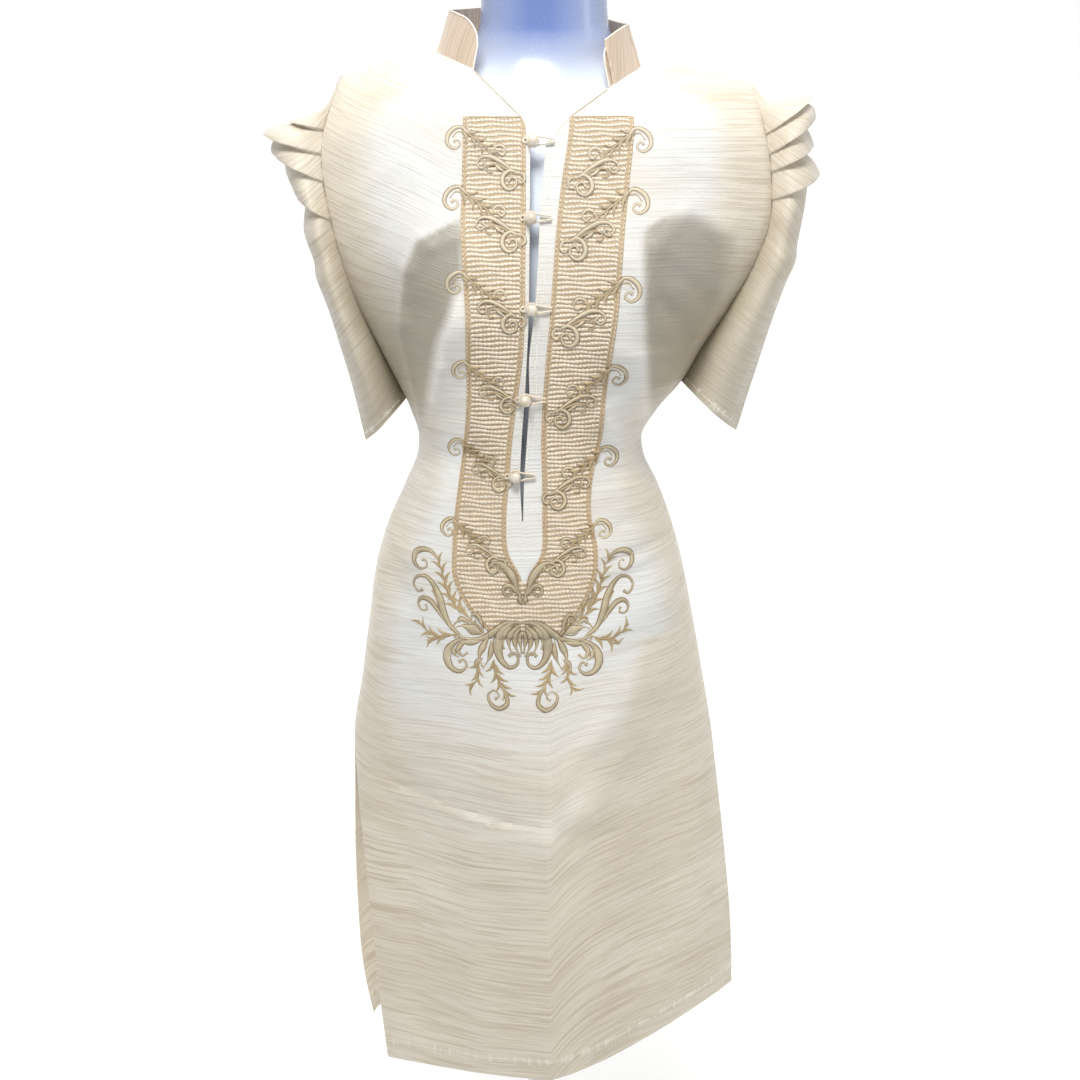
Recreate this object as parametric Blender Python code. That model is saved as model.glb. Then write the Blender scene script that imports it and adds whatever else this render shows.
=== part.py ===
"""Knee-length tunic dress with pleated sleeves on an armless dress form.

Metres, +Z up. The front faces -Y and the base rests on Z = 0.
"""

import math

import bmesh
import bpy
import numpy as np

# Cloth
CLOTH = 0.0015
SLEEVE_CLOTH = 0.0012
LAID_CLOTH = 0.0010
SEAM_GAP = 0.0003
ARM_GAP = 0.0010
LAID_INSET = 0.0002

# Heights of the dress
HEM_Z = 0.305
NECK_Z = 1.260
LEVEL_BOTTOM_Z = 0.600
LEVEL_TOP_Z = 1.100
SLIT_END_Z = 0.842
YOKE_END_Z = 0.732
YOKE_JOIN_Z = 0.784
YOKE_TOP_Z = 1.228
SHOULDER_ROLL = 0.070

# Collar
COLLAR_HEIGHT = 0.040
COLLAR_FRONT_HEIGHT = 0.024
COLLAR_CORNER = 0.024
COLLAR_LEAN = 0.30
COLLAR_END_LEFT_X = -0.0625
COLLAR_END_RIGHT_X = 0.0645

# Buttons and loops
BUTTON_RADIUS = 0.0055
LOOP_CORD = 0.0010
LOOP_REACH = 0.0190
LOOP_LIFT = 0.0010

# Dress form and stand
FORM_SIDES = 28
FORM_LIFT = 0.0016
POLE_RADIUS = 0.0125
BASE_RADIUS = 0.150
BASE_HEIGHT = 0.018
BASE_EDGE = 0.004

# Outline of the body: the edges of the front and back at each height.
BODY = (
    ("z", "left_x", "mid_x", "right_x"),
    (0.290, -0.153, 0.0136, 0.199),
    (0.340, -0.160, 0.0121, 0.199),
    (0.400, -0.167, 0.0094, 0.197),
    (0.480, -0.177, 0.0059, 0.190),
    (0.550, -0.186, 0.0027, 0.182),
    (0.600, -0.190, 0.0010, 0.176),
    (0.660, -0.181, 0.0000, 0.166),
    (0.720, -0.173, -0.0065, 0.155),
    (0.780, -0.164, -0.0133, 0.143),
    (0.820, -0.152, -0.0158, 0.132),
    (0.860, -0.134, -0.0171, 0.117),
    (0.890, -0.122, -0.0163, 0.103),
    (0.910, -0.121, -0.0154, 0.102),
    (0.935, -0.129, -0.0138, 0.117),
    (0.960, -0.139, -0.0119, 0.137),
    (1.000, -0.156, -0.0097, 0.158),
    (1.040, -0.174, -0.0073, 0.182),
    (1.080, -0.188, -0.0061, 0.204),
    (1.120, -0.198, -0.0043, 0.218),
    (1.160, -0.205, -0.0033, 0.219),
    (1.200, -0.206, -0.0028, 0.214),
    (1.240, -0.195, -0.0028, 0.205),
    (1.280, -0.183, -0.0028, 0.196),
)

# Depth of the front, and how square its section is: a low power makes a ridge at the middle.
FRONT = (
    ("z", "mid_y", "left_y", "right_y", "left_power", "left_round", "right_power", "right_round"),
    (0.290, -0.190, -0.112, -0.030, 1.25, 1.00, 1.35, 1.00),
    (0.400, -0.180, -0.085, -0.022, 1.25, 1.00, 1.40, 1.10),
    (0.500, -0.168, -0.050, -0.012, 1.35, 1.10, 1.50, 1.20),
    (0.600, -0.155, -0.004, -0.002, 1.60, 1.40, 1.60, 1.40),
    (0.660, -0.145, 0.000, 0.000, 1.80, 1.60, 1.80, 1.60),
    (0.720, -0.134, 0.000, 0.000, 1.90, 1.80, 1.90, 1.80),
    (0.780, -0.125, 0.000, 0.000, 2.00, 2.00, 2.00, 2.00),
    (0.840, -0.118, 0.000, 0.000, 2.00, 2.00, 2.00, 2.00),
    (0.900, -0.115, 0.000, 0.000, 2.10, 2.00, 2.10, 2.00),
    (0.940, -0.121, 0.000, 0.000, 2.20, 1.90, 2.20, 1.90),
    (0.960, -0.125, -0.018, -0.016, 2.20, 1.70, 2.20, 1.70),
    (1.000, -0.133, -0.042, -0.040, 2.20, 1.45, 2.20, 1.45),
    (1.040, -0.139, -0.054, -0.054, 2.20, 1.25, 2.20, 1.25),
    (1.080, -0.140, -0.060, -0.060, 2.20, 1.20, 2.20, 1.20),
    (1.160, -0.129, -0.060, -0.060, 2.20, 1.20, 2.20, 1.20),
    (1.200, -0.120, -0.058, -0.058, 2.20, 1.20, 2.20, 1.20),
    (1.240, -0.108, -0.054, -0.054, 2.20, 1.20, 2.20, 1.20),
    (1.290, -0.092, -0.050, -0.050, 2.20, 1.20, 2.20, 1.20),
)

# The back, whose left edge stands free of the front below the top of the side slit.
BACK = (
    ("z", "left_x", "mid_y", "edge_y", "power", "round"),
    (0.280, -0.174, 0.128, 0.000, 2.00, 1.50),
    (0.330, -0.184, 0.126, 0.000, 2.00, 1.50),
    (0.430, -0.191, 0.124, 0.000, 2.00, 1.60),
    (0.550, -0.191, 0.122, 0.000, 2.00, 1.70),
    (0.600, -0.190, 0.122, 0.000, 2.00, 1.80),
    (0.660, -0.181, 0.124, 0.000, 2.00, 1.90),
    (0.780, -0.164, 0.124, 0.000, 2.00, 2.00),
    (0.840, -0.143, 0.112, 0.000, 2.00, 2.00),
    (0.900, -0.121, 0.096, 0.000, 2.10, 2.00),
    (0.940, -0.131, 0.096, 0.000, 2.20, 1.90),
    (0.960, -0.139, 0.098, 0.016, 2.20, 1.70),
    (1.000, -0.156, 0.101, 0.036, 2.20, 1.45),
    (1.080, -0.188, 0.107, 0.050, 2.20, 1.20),
    (1.160, -0.205, 0.112, 0.054, 2.20, 1.20),
    (1.200, -0.206, 0.110, 0.054, 2.20, 1.20),
    (1.240, -0.195, 0.102, 0.052, 2.20, 1.20),
    (1.290, -0.180, 0.090, 0.050, 2.20, 1.20),
)

# Lines down the front that the opening, its strips and the embroidered panel follow.
LINES = (
    ("z", "left_outer", "left_inner", "left_gap", "right_gap", "right_inner", "right_outer"),
    (0.290, -0.078, -0.018, 0.0121, 0.0151, 0.0450, 0.108),
    (0.450, -0.082, -0.022, 0.0055, 0.0085, 0.0360, 0.092),
    (0.600, -0.078, -0.024, -0.0005, 0.0025, 0.0250, 0.070),
    (0.660, -0.066, -0.023, -0.0015, 0.0015, 0.0180, 0.054),
    (0.700, -0.054, -0.022, -0.0060, -0.0030, 0.0100, 0.036),
    (0.732, -0.047, -0.022, -0.0105, -0.0075, 0.0020, 0.021),
    (0.755, -0.067, -0.024, -0.0128, -0.0098, 0.0000, 0.039),
    (0.784, -0.083, -0.0190, -0.0155, -0.0125, -0.0090, 0.053),
    (0.812, -0.084, -0.030, -0.0172, -0.0142, 0.0010, 0.055),
    (0.842, -0.082, -0.032, -0.0180, -0.0148, 0.0019, 0.049),
    (0.880, -0.077, -0.029, -0.0190, -0.0150, 0.0018, 0.050),
    (0.920, -0.072, -0.026, -0.0173, -0.0124, 0.0010, 0.059),
    (0.960, -0.069, -0.021, -0.0144, -0.0100, 0.0026, 0.062),
    (1.000, -0.069, -0.016, -0.0122, -0.0100, 0.0056, 0.067),
    (1.040, -0.069, -0.014, -0.0104, -0.0055, 0.0093, 0.072),
    (1.080, -0.071, -0.0135, -0.0099, -0.0024, 0.0120, 0.075),
    (1.120, -0.073, -0.0130, -0.0095, -0.0005, 0.0150, 0.078),
    (1.160, -0.072, -0.0128, -0.0092, 0.0022, 0.0194, 0.082),
    (1.200, -0.071, -0.0128, -0.0091, 0.0054, 0.0255, 0.086),
    (1.260, -0.071, -0.0150, -0.0091, 0.0055, 0.0290, 0.087),
)

# Top edge of the front across its width: shoulder, neckline, opening, neckline, shoulder.
FRONT_TOP = (
    ("x", "z"),
    (-0.206, 1.2450),
    (-0.188, 1.2585),
    (-0.150, 1.2710),
    (-0.128, 1.2780),
    (-0.100, 1.2792),
    (-0.080, 1.2710),
    (-0.0625, 1.2631),
    (-0.048, 1.2500),
    (-0.030, 1.2330),
    (-0.015, 1.2190),
    (-0.009, 1.2020),
    (0.0055, 1.1960),
    (0.028, 1.2215),
    (0.046, 1.2340),
    (0.0645, 1.2466),
    (0.080, 1.2570),
    (0.0964, 1.2660),
    (0.114, 1.2700),
    (0.136, 1.2675),
    (0.181, 1.2570),
    (0.203, 1.2500),
    (0.220, 1.2380),
)

# Heights where the shoulder would roll over to Y = 0, in front and at the back.
ROLL = (
    ("x", "front_z", "back_z", "back_top_z"),
    (-0.206, 1.2450, 1.2450, 1.2450),
    (-0.188, 1.2585, 1.2585, 1.2585),
    (-0.150, 1.2710, 1.2710, 1.2710),
    (-0.128, 1.2780, 1.2780, 1.2780),
    (-0.100, 1.2792, 1.2792, 1.2792),
    (-0.0625, 1.2860, 1.2970, 1.2830),
    (0.000, 1.3000, 1.3100, 1.2870),
    (0.0645, 1.2720, 1.2880, 1.2740),
    (0.0964, 1.2660, 1.2660, 1.2660),
    (0.114, 1.2700, 1.2700, 1.2700),
    (0.136, 1.2675, 1.2675, 1.2675),
    (0.181, 1.2570, 1.2570, 1.2570),
    (0.203, 1.2500, 1.2500, 1.2500),
    (0.220, 1.2380, 1.2380, 1.2380),
)

# Hem height across the width.
HEM = (
    ("x", "front_z", "back_z"),
    (-0.190, 0.2890, 0.2890),
    (-0.153, 0.2910, 0.2900),
    (-0.070, 0.2960, 0.2940),
    (0.014, 0.3030, 0.3000),
    (0.100, 0.3170, 0.3100),
    (0.199, 0.3360, 0.3350),
)

# Large folds of the front: from one point to another, how wide, and how far out.
FOLDS = (
    ("x1", "z1", "x2", "z2", "width", "out"),
    (-0.092, 1.085, -0.086, 1.035, 0.046, 0.015),
    (0.090, 1.085, 0.084, 1.035, 0.046, 0.015),
    (-0.078, 1.030, -0.112, 0.925, 0.016, 0.006),
    (-0.112, 1.040, -0.122, 0.965, 0.016, -0.006),
    (0.078, 1.000, 0.135, 0.970, 0.017, 0.006),
    (0.072, 0.965, 0.115, 0.915, 0.016, -0.005),
    (0.066, 0.935, 0.095, 0.890, 0.015, 0.005),
    (-0.060, 0.905, -0.112, 0.885, 0.014, -0.004),
    (-0.098, 0.860, -0.130, 0.800, 0.016, 0.004),
    (-0.160, 0.790, -0.132, 0.764, 0.014, -0.005),
    (0.062, 0.780, 0.130, 0.796, 0.015, -0.005),
    (0.070, 0.740, 0.128, 0.752, 0.018, 0.004),
    (0.086, 0.670, 0.040, 0.570, 0.026, 0.008),
    (0.040, 0.570, 0.010, 0.530, 0.022, 0.006),
    (0.125, 0.640, 0.110, 0.420, 0.030, -0.007),
    (-0.155, 0.575, -0.004, 0.556, 0.014, -0.003),
    (-0.120, 0.540, -0.105, 0.350, 0.030, -0.005),
)

# Soft hanging folds of the back.
BACK_FOLDS = (
    ("x1", "z1", "x2", "z2", "width", "out"),
    (-0.110, 0.640, -0.120, 0.330, 0.026, -0.009),
    (-0.040, 0.610, -0.045, 0.330, 0.026, 0.008),
    (0.030, 0.630, 0.036, 0.340, 0.026, -0.008),
    (0.105, 0.640, 0.118, 0.350, 0.028, 0.008),
    (-0.080, 0.925, 0.060, 0.915, 0.016, -0.005),
    (-0.060, 0.880, 0.080, 0.885, 0.015, 0.004),
    (-0.120, 1.120, -0.070, 1.010, 0.022, 0.006),
    (0.125, 1.120, 0.075, 1.010, 0.022, 0.006),
)

# Rows across a sleeve, from its head to its hem: height on the armhole, and the outer fold.
# A step above zero stands out as the edge of a pleat, and one below zero lies under it.
SLEEVE_LEFT = (
    ("arm_z", "out_x", "out_z", "step"),
    (1.2560, -0.1935, 1.2560, 0.0),
    (1.2400, -0.2082, 1.2250, 0.0),
    (1.2240, -0.2260, 1.2180, 0.001),
    (1.2085, -0.2413, 1.2150, 0.003),
    (1.2050, -0.2430, 1.2120, -0.005),
    (1.1960, -0.2600, 1.2090, 0.0),
    (1.1860, -0.2669, 1.2010, 0.003),
    (1.1820, -0.2625, 1.1975, -0.005),
    (1.1710, -0.2610, 1.1910, 0.0),
    (1.1600, -0.2585, 1.1835, 0.003),
    (1.1560, -0.2540, 1.1795, -0.005),
    (1.1390, -0.2470, 1.1630, 0.0),
    (1.1240, -0.2365, 1.1450, 0.003),
    (1.1200, -0.2325, 1.1405, -0.005),
    (1.1070, -0.2315, 1.1100, 0.0),
    (1.0945, -0.2249, 1.0800, -0.003),
    (1.0790, -0.2190, 1.0610, 0.001),
    (1.0550, -0.2075, 1.0270, 0.0),
    (1.0250, -0.1965, 0.9900, 0.0),
    (0.9950, -0.1870, 0.9570, 0.0),
    (0.9680, -0.1795, 0.9250, 0.0),
    (0.9490, -0.1752, 0.9060, 0.0),
    (0.9440, -0.1740, 0.9010, 0.0),
)
SLEEVE_RIGHT = (
    ("arm_z", "out_x", "out_z", "step"),
    (1.2480, 0.2060, 1.2480, 0.0),
    (1.2330, 0.2255, 1.2300, 0.0),
    (1.2190, 0.2398, 1.2360, 0.001),
    (1.2040, 0.2615, 1.2370, 0.003),
    (1.2000, 0.2600, 1.2330, -0.005),
    (1.1925, 0.2660, 1.2260, 0.0),
    (1.1855, 0.2645, 1.2155, 0.003),
    (1.1815, 0.2605, 1.2115, -0.005),
    (1.1750, 0.2625, 1.2010, 0.0),
    (1.1690, 0.2640, 1.1900, 0.003),
    (1.1650, 0.2600, 1.1860, -0.005),
    (1.1540, 0.2670, 1.1750, 0.0),
    (1.1430, 0.2705, 1.1625, 0.003),
    (1.1390, 0.2660, 1.1580, -0.005),
    (1.1250, 0.2590, 1.1330, 0.0),
    (1.1100, 0.2549, 1.0960, -0.003),
    (1.0930, 0.2500, 1.0780, 0.001),
    (1.0660, 0.2400, 1.0520, 0.0),
    (1.0360, 0.2270, 1.0140, 0.0),
    (1.0080, 0.2160, 0.9780, 0.0),
    (0.9830, 0.2050, 0.9420, 0.0),
    (0.9670, 0.1975, 0.9160, 0.0),
    (0.9630, 0.1956, 0.9110, 0.0),
)

# How far out each line along a sleeve lies, from the armhole to the outer fold.
SLEEVE_REACH = (0.0, 0.14, 0.30, 0.48, 0.66, 0.82, 0.94, 1.0)
SLEEVE_BELLY_TOP = 0.010
SLEEVE_BELLY_HEM = 0.034

# How far each line of the body lies from the panel's outer border to the edge.
SIDE_SHARES = (0.12, 0.265, 0.42, 0.60, 0.76, 0.89, 1.0)
RIGHT_SIDE_SHARES = (0.09, 0.25, 0.42, 0.60, 0.76, 0.89, 1.0)

FRONT_ROWS_Z = (
    0.305, 0.322, 0.358, 0.398, 0.440, 0.480, 0.520, 0.560, 0.600, 0.630, 0.662, 0.698,
    0.732, 0.756, 0.784, 0.812, 0.842, 0.868, 0.892, 0.916, 0.940, 0.965, 0.990, 1.015,
    1.042, 1.070, 1.100, 1.128, 1.156, 1.182, 1.206, 1.228, 1.246, 1.260,
)
BACK_ROWS_Z = (
    0.305, 0.322, 0.370, 0.420, 0.470, 0.520, 0.570, 0.620, 0.680, 0.740, 0.800, 0.850,
    0.895, 0.940, 0.965, 0.990, 1.015, 1.042, 1.070, 1.100, 1.128, 1.156, 1.182, 1.206,
    1.228, 1.246, 1.260,
)
NECK_LINE = 5
BACK_SHARES = (
    -1.0, -0.93, -0.84, -0.74, -0.635, -0.540, -0.40, -0.27, -0.13, 0.0,
    0.13, 0.26, 0.38, 0.502, 0.61, 0.73, 0.84, 0.93, 1.0,
)

# Sections of the dress form, from the neck down.
FORM = (
    ("z", "mid_x", "half_width", "front_y", "back_y"),
    (1.345, 0.004, 0.0600, -0.052, 0.054),
    (1.325, 0.004, 0.0605, -0.052, 0.055),
    (1.303, 0.004, 0.0620, -0.053, 0.056),
    (1.288, 0.004, 0.0670, -0.056, 0.057),
    (1.268, 0.003, 0.0740, -0.061, 0.059),
    (1.254, 0.001, 0.1000, -0.067, 0.062),
    (1.241, 0.001, 0.1360, -0.076, 0.068),
    (1.224, 0.002, 0.1610, -0.088, 0.077),
    (1.200, 0.003, 0.1710, -0.100, 0.085),
    (1.160, 0.003, 0.1690, -0.112, 0.090),
    (1.110, 0.000, 0.1590, -0.124, 0.090),
    (1.050, -0.003, 0.1420, -0.124, 0.086),
    (0.990, -0.006, 0.1220, -0.112, 0.080),
    (0.940, -0.008, 0.1020, -0.098, 0.074),
    (0.900, -0.009, 0.0920, -0.090, 0.070),
    (0.850, -0.009, 0.1030, -0.094, 0.082),
    (0.790, -0.009, 0.1280, -0.103, 0.100),
    (0.720, -0.008, 0.1440, -0.110, 0.108),
    (0.640, -0.006, 0.1480, -0.112, 0.106),
    (0.575, -0.004, 0.1420, -0.106, 0.098),
    (0.560, -0.004, 0.1360, -0.100, 0.092),
)
FORM_SQUARE = 2.2

BUTTONS = (
    ("x", "z"),
    (-0.0060, 1.1990),
    (-0.0085, 1.1297),
    (-0.0080, 1.0464),
    (-0.0135, 0.9598),
    (-0.0235, 0.8851),
)

IVORY = (0.86, 0.80, 0.66, 1.0)
CREAM = (0.80, 0.69, 0.50, 1.0)
COLLAR_TAN = (0.80, 0.68, 0.55, 1.0)
PEARL = (0.85, 0.78, 0.64, 1.0)
FORM_WHITE = (0.62, 0.69, 0.86, 1.0)
STEEL = (0.70, 0.70, 0.72, 1.0)


def column(table, name):
    """The values of one named column of a table."""
    index = table[0].index(name)
    return np.array([row[index] for row in table[1:]])


def smooth(table, name, at, key="z"):
    """A column's value at the given keys, on a curve that is smooth through the rows."""
    keys = column(table, key)
    values = column(table, name)
    slopes = np.gradient(values, keys)
    at = np.clip(at, keys[0], keys[-1])
    low = np.clip(np.searchsorted(keys, at, side="right") - 1, 0, len(keys) - 2)
    step = keys[low + 1] - keys[low]
    t = (at - keys[low]) / step
    rise = 3 * t**2 - 2 * t**3
    start = (t**3 - 2 * t**2 + t) * step * slopes[low]
    end = (t**3 - t**2) * step * slopes[low + 1]
    return values[low] * (1 - rise) + values[low + 1] * rise + start + end


def straight(table, name, at, key="x"):
    """A column's value at the given keys, on straight lines between the rows."""
    return np.interp(at, column(table, key), column(table, name))


def bulge(share, power, roundness):
    """How far out a section is, from 1 at its middle to 0 at its edge."""
    share = np.clip(share, 0.0, 1.0)
    return np.maximum(1.0 - share**power, 0.0) ** (1.0 / roundness)


def roll_over(x, z, name):
    """The share of the depth left at a point near the top of the shoulder."""
    below = straight(ROLL, name, x) - z
    share = np.clip(below / SHOULDER_ROLL, 0.0, 1.0)
    return np.sqrt(1.0 - (1.0 - share) ** 2)


def folds(table, x, z):
    """How far the folds of a table move a point out."""
    out = np.zeros(np.broadcast(x, z).shape)
    for x1, z1, x2, z2, width, depth in table[1:]:
        along_x = x2 - x1
        along_z = z2 - z1
        length2 = along_x**2 + along_z**2
        t = np.clip(((x - x1) * along_x + (z - z1) * along_z) / length2, 0.0, 1.0)
        away2 = (x - x1 - t * along_x) ** 2 + (z - z1 - t * along_z) ** 2
        out = out + depth * np.exp(-away2 / width**2)
    return out


def front_y(x, z):
    """Depth of the front's outer side at a point of its outline."""
    mid_x = smooth(BODY, "mid_x", z)
    is_left = x < mid_x
    edge_x = np.where(is_left, smooth(BODY, "left_x", z), smooth(BODY, "right_x", z))
    share = np.clip((x - mid_x) / (edge_x - mid_x), 0.0, 1.0)
    power = np.where(is_left, smooth(FRONT, "left_power", z), smooth(FRONT, "right_power", z))
    roundness = np.where(
        is_left, smooth(FRONT, "left_round", z), smooth(FRONT, "right_round", z)
    )
    edge_y = np.where(is_left, smooth(FRONT, "left_y", z), smooth(FRONT, "right_y", z))
    edge_y = np.minimum(edge_y, 0.0)
    mid_y = smooth(FRONT, "mid_y", z)
    fade = np.clip((1.0 - share) / 0.15, 0.0, 1.0)
    depth = edge_y + (mid_y - edge_y) * bulge(share, power, roundness)
    depth = depth - folds(FOLDS, x, z) * fade
    return depth * roll_over(x, z, "front_z")


def back_y(x, z):
    """Depth of the back's outer side at a point of its outline."""
    mid_x = smooth(BODY, "mid_x", z)
    is_left = x < mid_x
    edge_x = np.where(is_left, smooth(BACK, "left_x", z), smooth(BODY, "right_x", z))
    share = np.clip((x - mid_x) / (edge_x - mid_x), 0.0, 1.0)
    edge_y = np.maximum(smooth(BACK, "edge_y", z), 0.0)
    mid_y = smooth(BACK, "mid_y", z)
    fade = np.clip((1.0 - share) / 0.15, 0.0, 1.0)
    bow = bulge(share, smooth(BACK, "power", z), smooth(BACK, "round", z))
    depth = edge_y + (mid_y - edge_y) * bow + folds(BACK_FOLDS, x, z) * fade
    return depth * roll_over(x, z, "back_z")


def fit_height(level_z, bottom_z, top_z):
    """A row's height on a line whose own ends differ from the rows' first and last."""
    low = LEVEL_BOTTOM_Z - (LEVEL_BOTTOM_Z - level_z) * (LEVEL_BOTTOM_Z - bottom_z) / (
        LEVEL_BOTTOM_Z - HEM_Z
    )
    high = LEVEL_TOP_Z + (level_z - LEVEL_TOP_Z) * (top_z - LEVEL_TOP_Z) / (NECK_Z - LEVEL_TOP_Z)
    level_z = np.where(level_z < LEVEL_BOTTOM_Z, low, level_z)
    return np.where(level_z > LEVEL_TOP_Z, high, level_z)


def front_lines_x(z):
    """The x of each line down the front at one height, from left to right."""
    left_edge = float(smooth(BODY, "left_x", z))
    right_edge = float(smooth(BODY, "right_x", z))
    mark = {name: float(smooth(LINES, name, z)) for name in LINES[0][1:]}
    left_side = [
        mark["left_outer"] + share * (left_edge - mark["left_outer"]) for share in SIDE_SHARES
    ]
    right_side = [
        mark["right_outer"] + share * (right_edge - mark["right_outer"])
        for share in RIGHT_SIDE_SHARES
    ]
    left_panel = list(np.linspace(mark["left_outer"], mark["left_inner"], 4))
    right_panel = list(np.linspace(mark["right_inner"], mark["right_outer"], 4))
    gap = [mark["left_gap"], mark["right_gap"]]
    return left_side[::-1] + left_panel + gap + right_panel + right_side


def front_grid():
    """Points of the front's outer side, by row and line."""
    hem_lines = front_lines_x(HEM_Z)
    grid = np.zeros((len(FRONT_ROWS_Z), len(hem_lines), 3))
    for line, hem_x in enumerate(hem_lines):
        top_z = NECK_Z
        for _ in range(4):
            top_z = float(straight(FRONT_TOP, "z", front_lines_x(top_z)[line]))
        hem_z = float(straight(HEM, "front_z", hem_x))
        for row, level_z in enumerate(FRONT_ROWS_Z):
            z = float(fit_height(level_z, hem_z, top_z))
            x = front_lines_x(z)[line]
            grid[row, line] = (x, 0.0, z)
    grid[:, :, 1] = front_y(grid[:, :, 0], grid[:, :, 2])
    return grid


def back_grid():
    """Points of the back's outer side, by row and line."""
    grid = np.zeros((len(BACK_ROWS_Z), len(BACK_SHARES), 3))
    for line, share in enumerate(BACK_SHARES):
        top_z = NECK_Z
        for _ in range(4):
            top_z = float(straight(ROLL, "back_top_z", back_line_x(share, top_z)))
        hem_z = float(straight(HEM, "back_z", back_line_x(share, HEM_Z)))
        for row, level_z in enumerate(BACK_ROWS_Z):
            z = float(fit_height(level_z, hem_z, top_z))
            grid[row, line] = (back_line_x(share, z), 0.0, z)
    grid[:, :, 1] = back_y(grid[:, :, 0], grid[:, :, 2])
    return grid


def back_line_x(share, z):
    """The x of a line down the back, whose share runs from -1 at the left edge to 1."""
    mid_x = float(smooth(BODY, "mid_x", z))
    edge_x = float(smooth(BACK, "left_x", z) if share < 0 else smooth(BODY, "right_x", z))
    return mid_x + abs(share) * (edge_x - mid_x)


def grid_normals(grid, outward):
    """The direction out of the cloth at each point of a grid."""
    normals = np.cross(np.gradient(grid, axis=0), np.gradient(grid, axis=1))
    lengths = np.linalg.norm(normals, axis=2, keepdims=True)
    normals = normals / np.maximum(lengths, 1e-12)
    middle = normals[grid.shape[0] // 2, grid.shape[1] // 2]
    return normals if np.dot(middle, outward) > 0 else -normals


def turn_seams(normals, top_lines):
    """Normals at the side seams and shoulder seams, turned so that two walls meet flush."""
    normals[:, 0] = (-1.0, 0.0, 0.0)
    normals[:, -1] = (1.0, 0.0, 0.0)
    for line in top_lines:
        normals[-1, line] = (0.0, 0.0, 1.0)
    return normals


def make_object(name, points, faces, material):
    """A mesh object with its faces turned outwards."""
    mesh = bpy.data.meshes.new(name)
    mesh.from_pydata([tuple(point) for point in points], [], faces)
    shape = bmesh.new()
    shape.from_mesh(mesh)
    bmesh.ops.recalc_face_normals(shape, faces=shape.faces[:])
    shape.to_mesh(mesh)
    shape.free()
    mesh.materials.append(material)
    obj = bpy.data.objects.new(name, mesh)
    bpy.context.scene.collection.objects.link(obj)
    return obj


def sheet(name, grid, normals, thickness, material, keep=None, lift=0.0, inset=0.0):
    """A closed wall over the kept cells of a grid: its outer side is lifted off the points."""
    rows, lines = grid.shape[:2]
    if keep is None:
        keep = np.ones((rows - 1, lines - 1), bool)
    centres = (grid[:-1, :-1] + grid[1:, :-1] + grid[:-1, 1:] + grid[1:, 1:]) / 4
    uses = {}
    for row, line in zip(*np.nonzero(keep)):
        for corner in ((row, line), (row, line + 1), (row + 1, line + 1), (row + 1, line)):
            uses.setdefault(corner, []).append(centres[row, line])
    number = {corner: 2 * index for index, corner in enumerate(sorted(uses))}
    points = []
    for corner in sorted(uses):
        point = grid[corner].copy()
        toward = np.mean(uses[corner], axis=0) - point
        if inset and len(uses[corner]) < 4:
            point = point + toward * inset / np.linalg.norm(toward)
        points.append(point + normals[corner] * lift)
        points.append(point + normals[corner] * (lift - thickness))
    faces = []
    rims = {}
    for row, line in zip(*np.nonzero(keep)):
        corners = [(row, line), (row, line + 1), (row + 1, line + 1), (row + 1, line)]
        a, b, c, d = (number[corner] for corner in corners)
        faces += [(a, b, c), (a, c, d), (c + 1, b + 1, a + 1), (d + 1, c + 1, a + 1)]
        for start, end in ((a, b), (b, c), (c, d), (d, a)):
            edge = (min(start, end), max(start, end))
            rims[edge] = None if edge in rims else (start, end)
    for found in rims.values():
        if found:
            start, end = found
            faces += [(end, start, start + 1), (end, start + 1, end + 1)]
    return make_object(name, points, faces, material)


def tube(name, path, radius, sides, material, closed=False):
    """A round cord along a path that stays close to the plane of the front."""
    path = [np.array(point) for point in path]
    count = len(path)
    points = []
    for index, point in enumerate(path):
        before = path[index - 1] if closed or index else path[0]
        after = path[(index + 1) % count] if closed or index < count - 1 else path[-1]
        along = (after - before) / np.linalg.norm(after - before)
        across = np.cross(along, (0.0, -1.0, 0.0))
        across = across / np.linalg.norm(across)
        out = np.cross(across, along)
        for side in range(sides):
            turn = 2 * math.pi * side / sides
            points.append(point + radius * (math.cos(turn) * across + math.sin(turn) * out))
    faces = []
    for index in range(count if closed else count - 1):
        here = index * sides
        there = (index + 1) % count * sides
        for side in range(sides):
            following = (side + 1) % sides
            faces.append((here + side, here + following, there + following, there + side))
    if not closed:
        faces.append(tuple(range(sides - 1, -1, -1)))
        faces.append(tuple(range((count - 1) * sides, count * sides)))
    return make_object(name, points, faces, material)


def stacked_rings(name, rings, material):
    """A closed body through rings of points, with a flat cap at each end."""
    sides = len(rings[0])
    points = [point for ring in rings for point in ring]
    faces = []
    for index in range(len(rings) - 1):
        here = index * sides
        there = here + sides
        for side in range(sides):
            following = (side + 1) % sides
            faces.append((here + side, here + following, there + following, there + side))
    faces.append(tuple(range(sides - 1, -1, -1)))
    faces.append(tuple(range((len(rings) - 1) * sides, len(rings) * sides)))
    return make_object(name, points, faces, material)


def round_ring(radius, z, sides):
    """Points of a level circle round the pole."""
    return [
        (radius * math.cos(turn), radius * math.sin(turn), z)
        for turn in (2 * math.pi * side / sides for side in range(sides))
    ]


def material(name, colour, roughness, metallic=0.0):
    """A plain material."""
    made = bpy.data.materials.new(name)
    made.use_nodes = True
    shader = made.node_tree.nodes["Principled BSDF"]
    shader.inputs["Base Color"].default_value = colour
    shader.inputs["Roughness"].default_value = roughness
    shader.inputs["Metallic"].default_value = metallic
    made.diffuse_color = colour
    return made


def shifted(grid, move):
    """A grid moved by one amount."""
    return grid + np.array(move)


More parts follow.
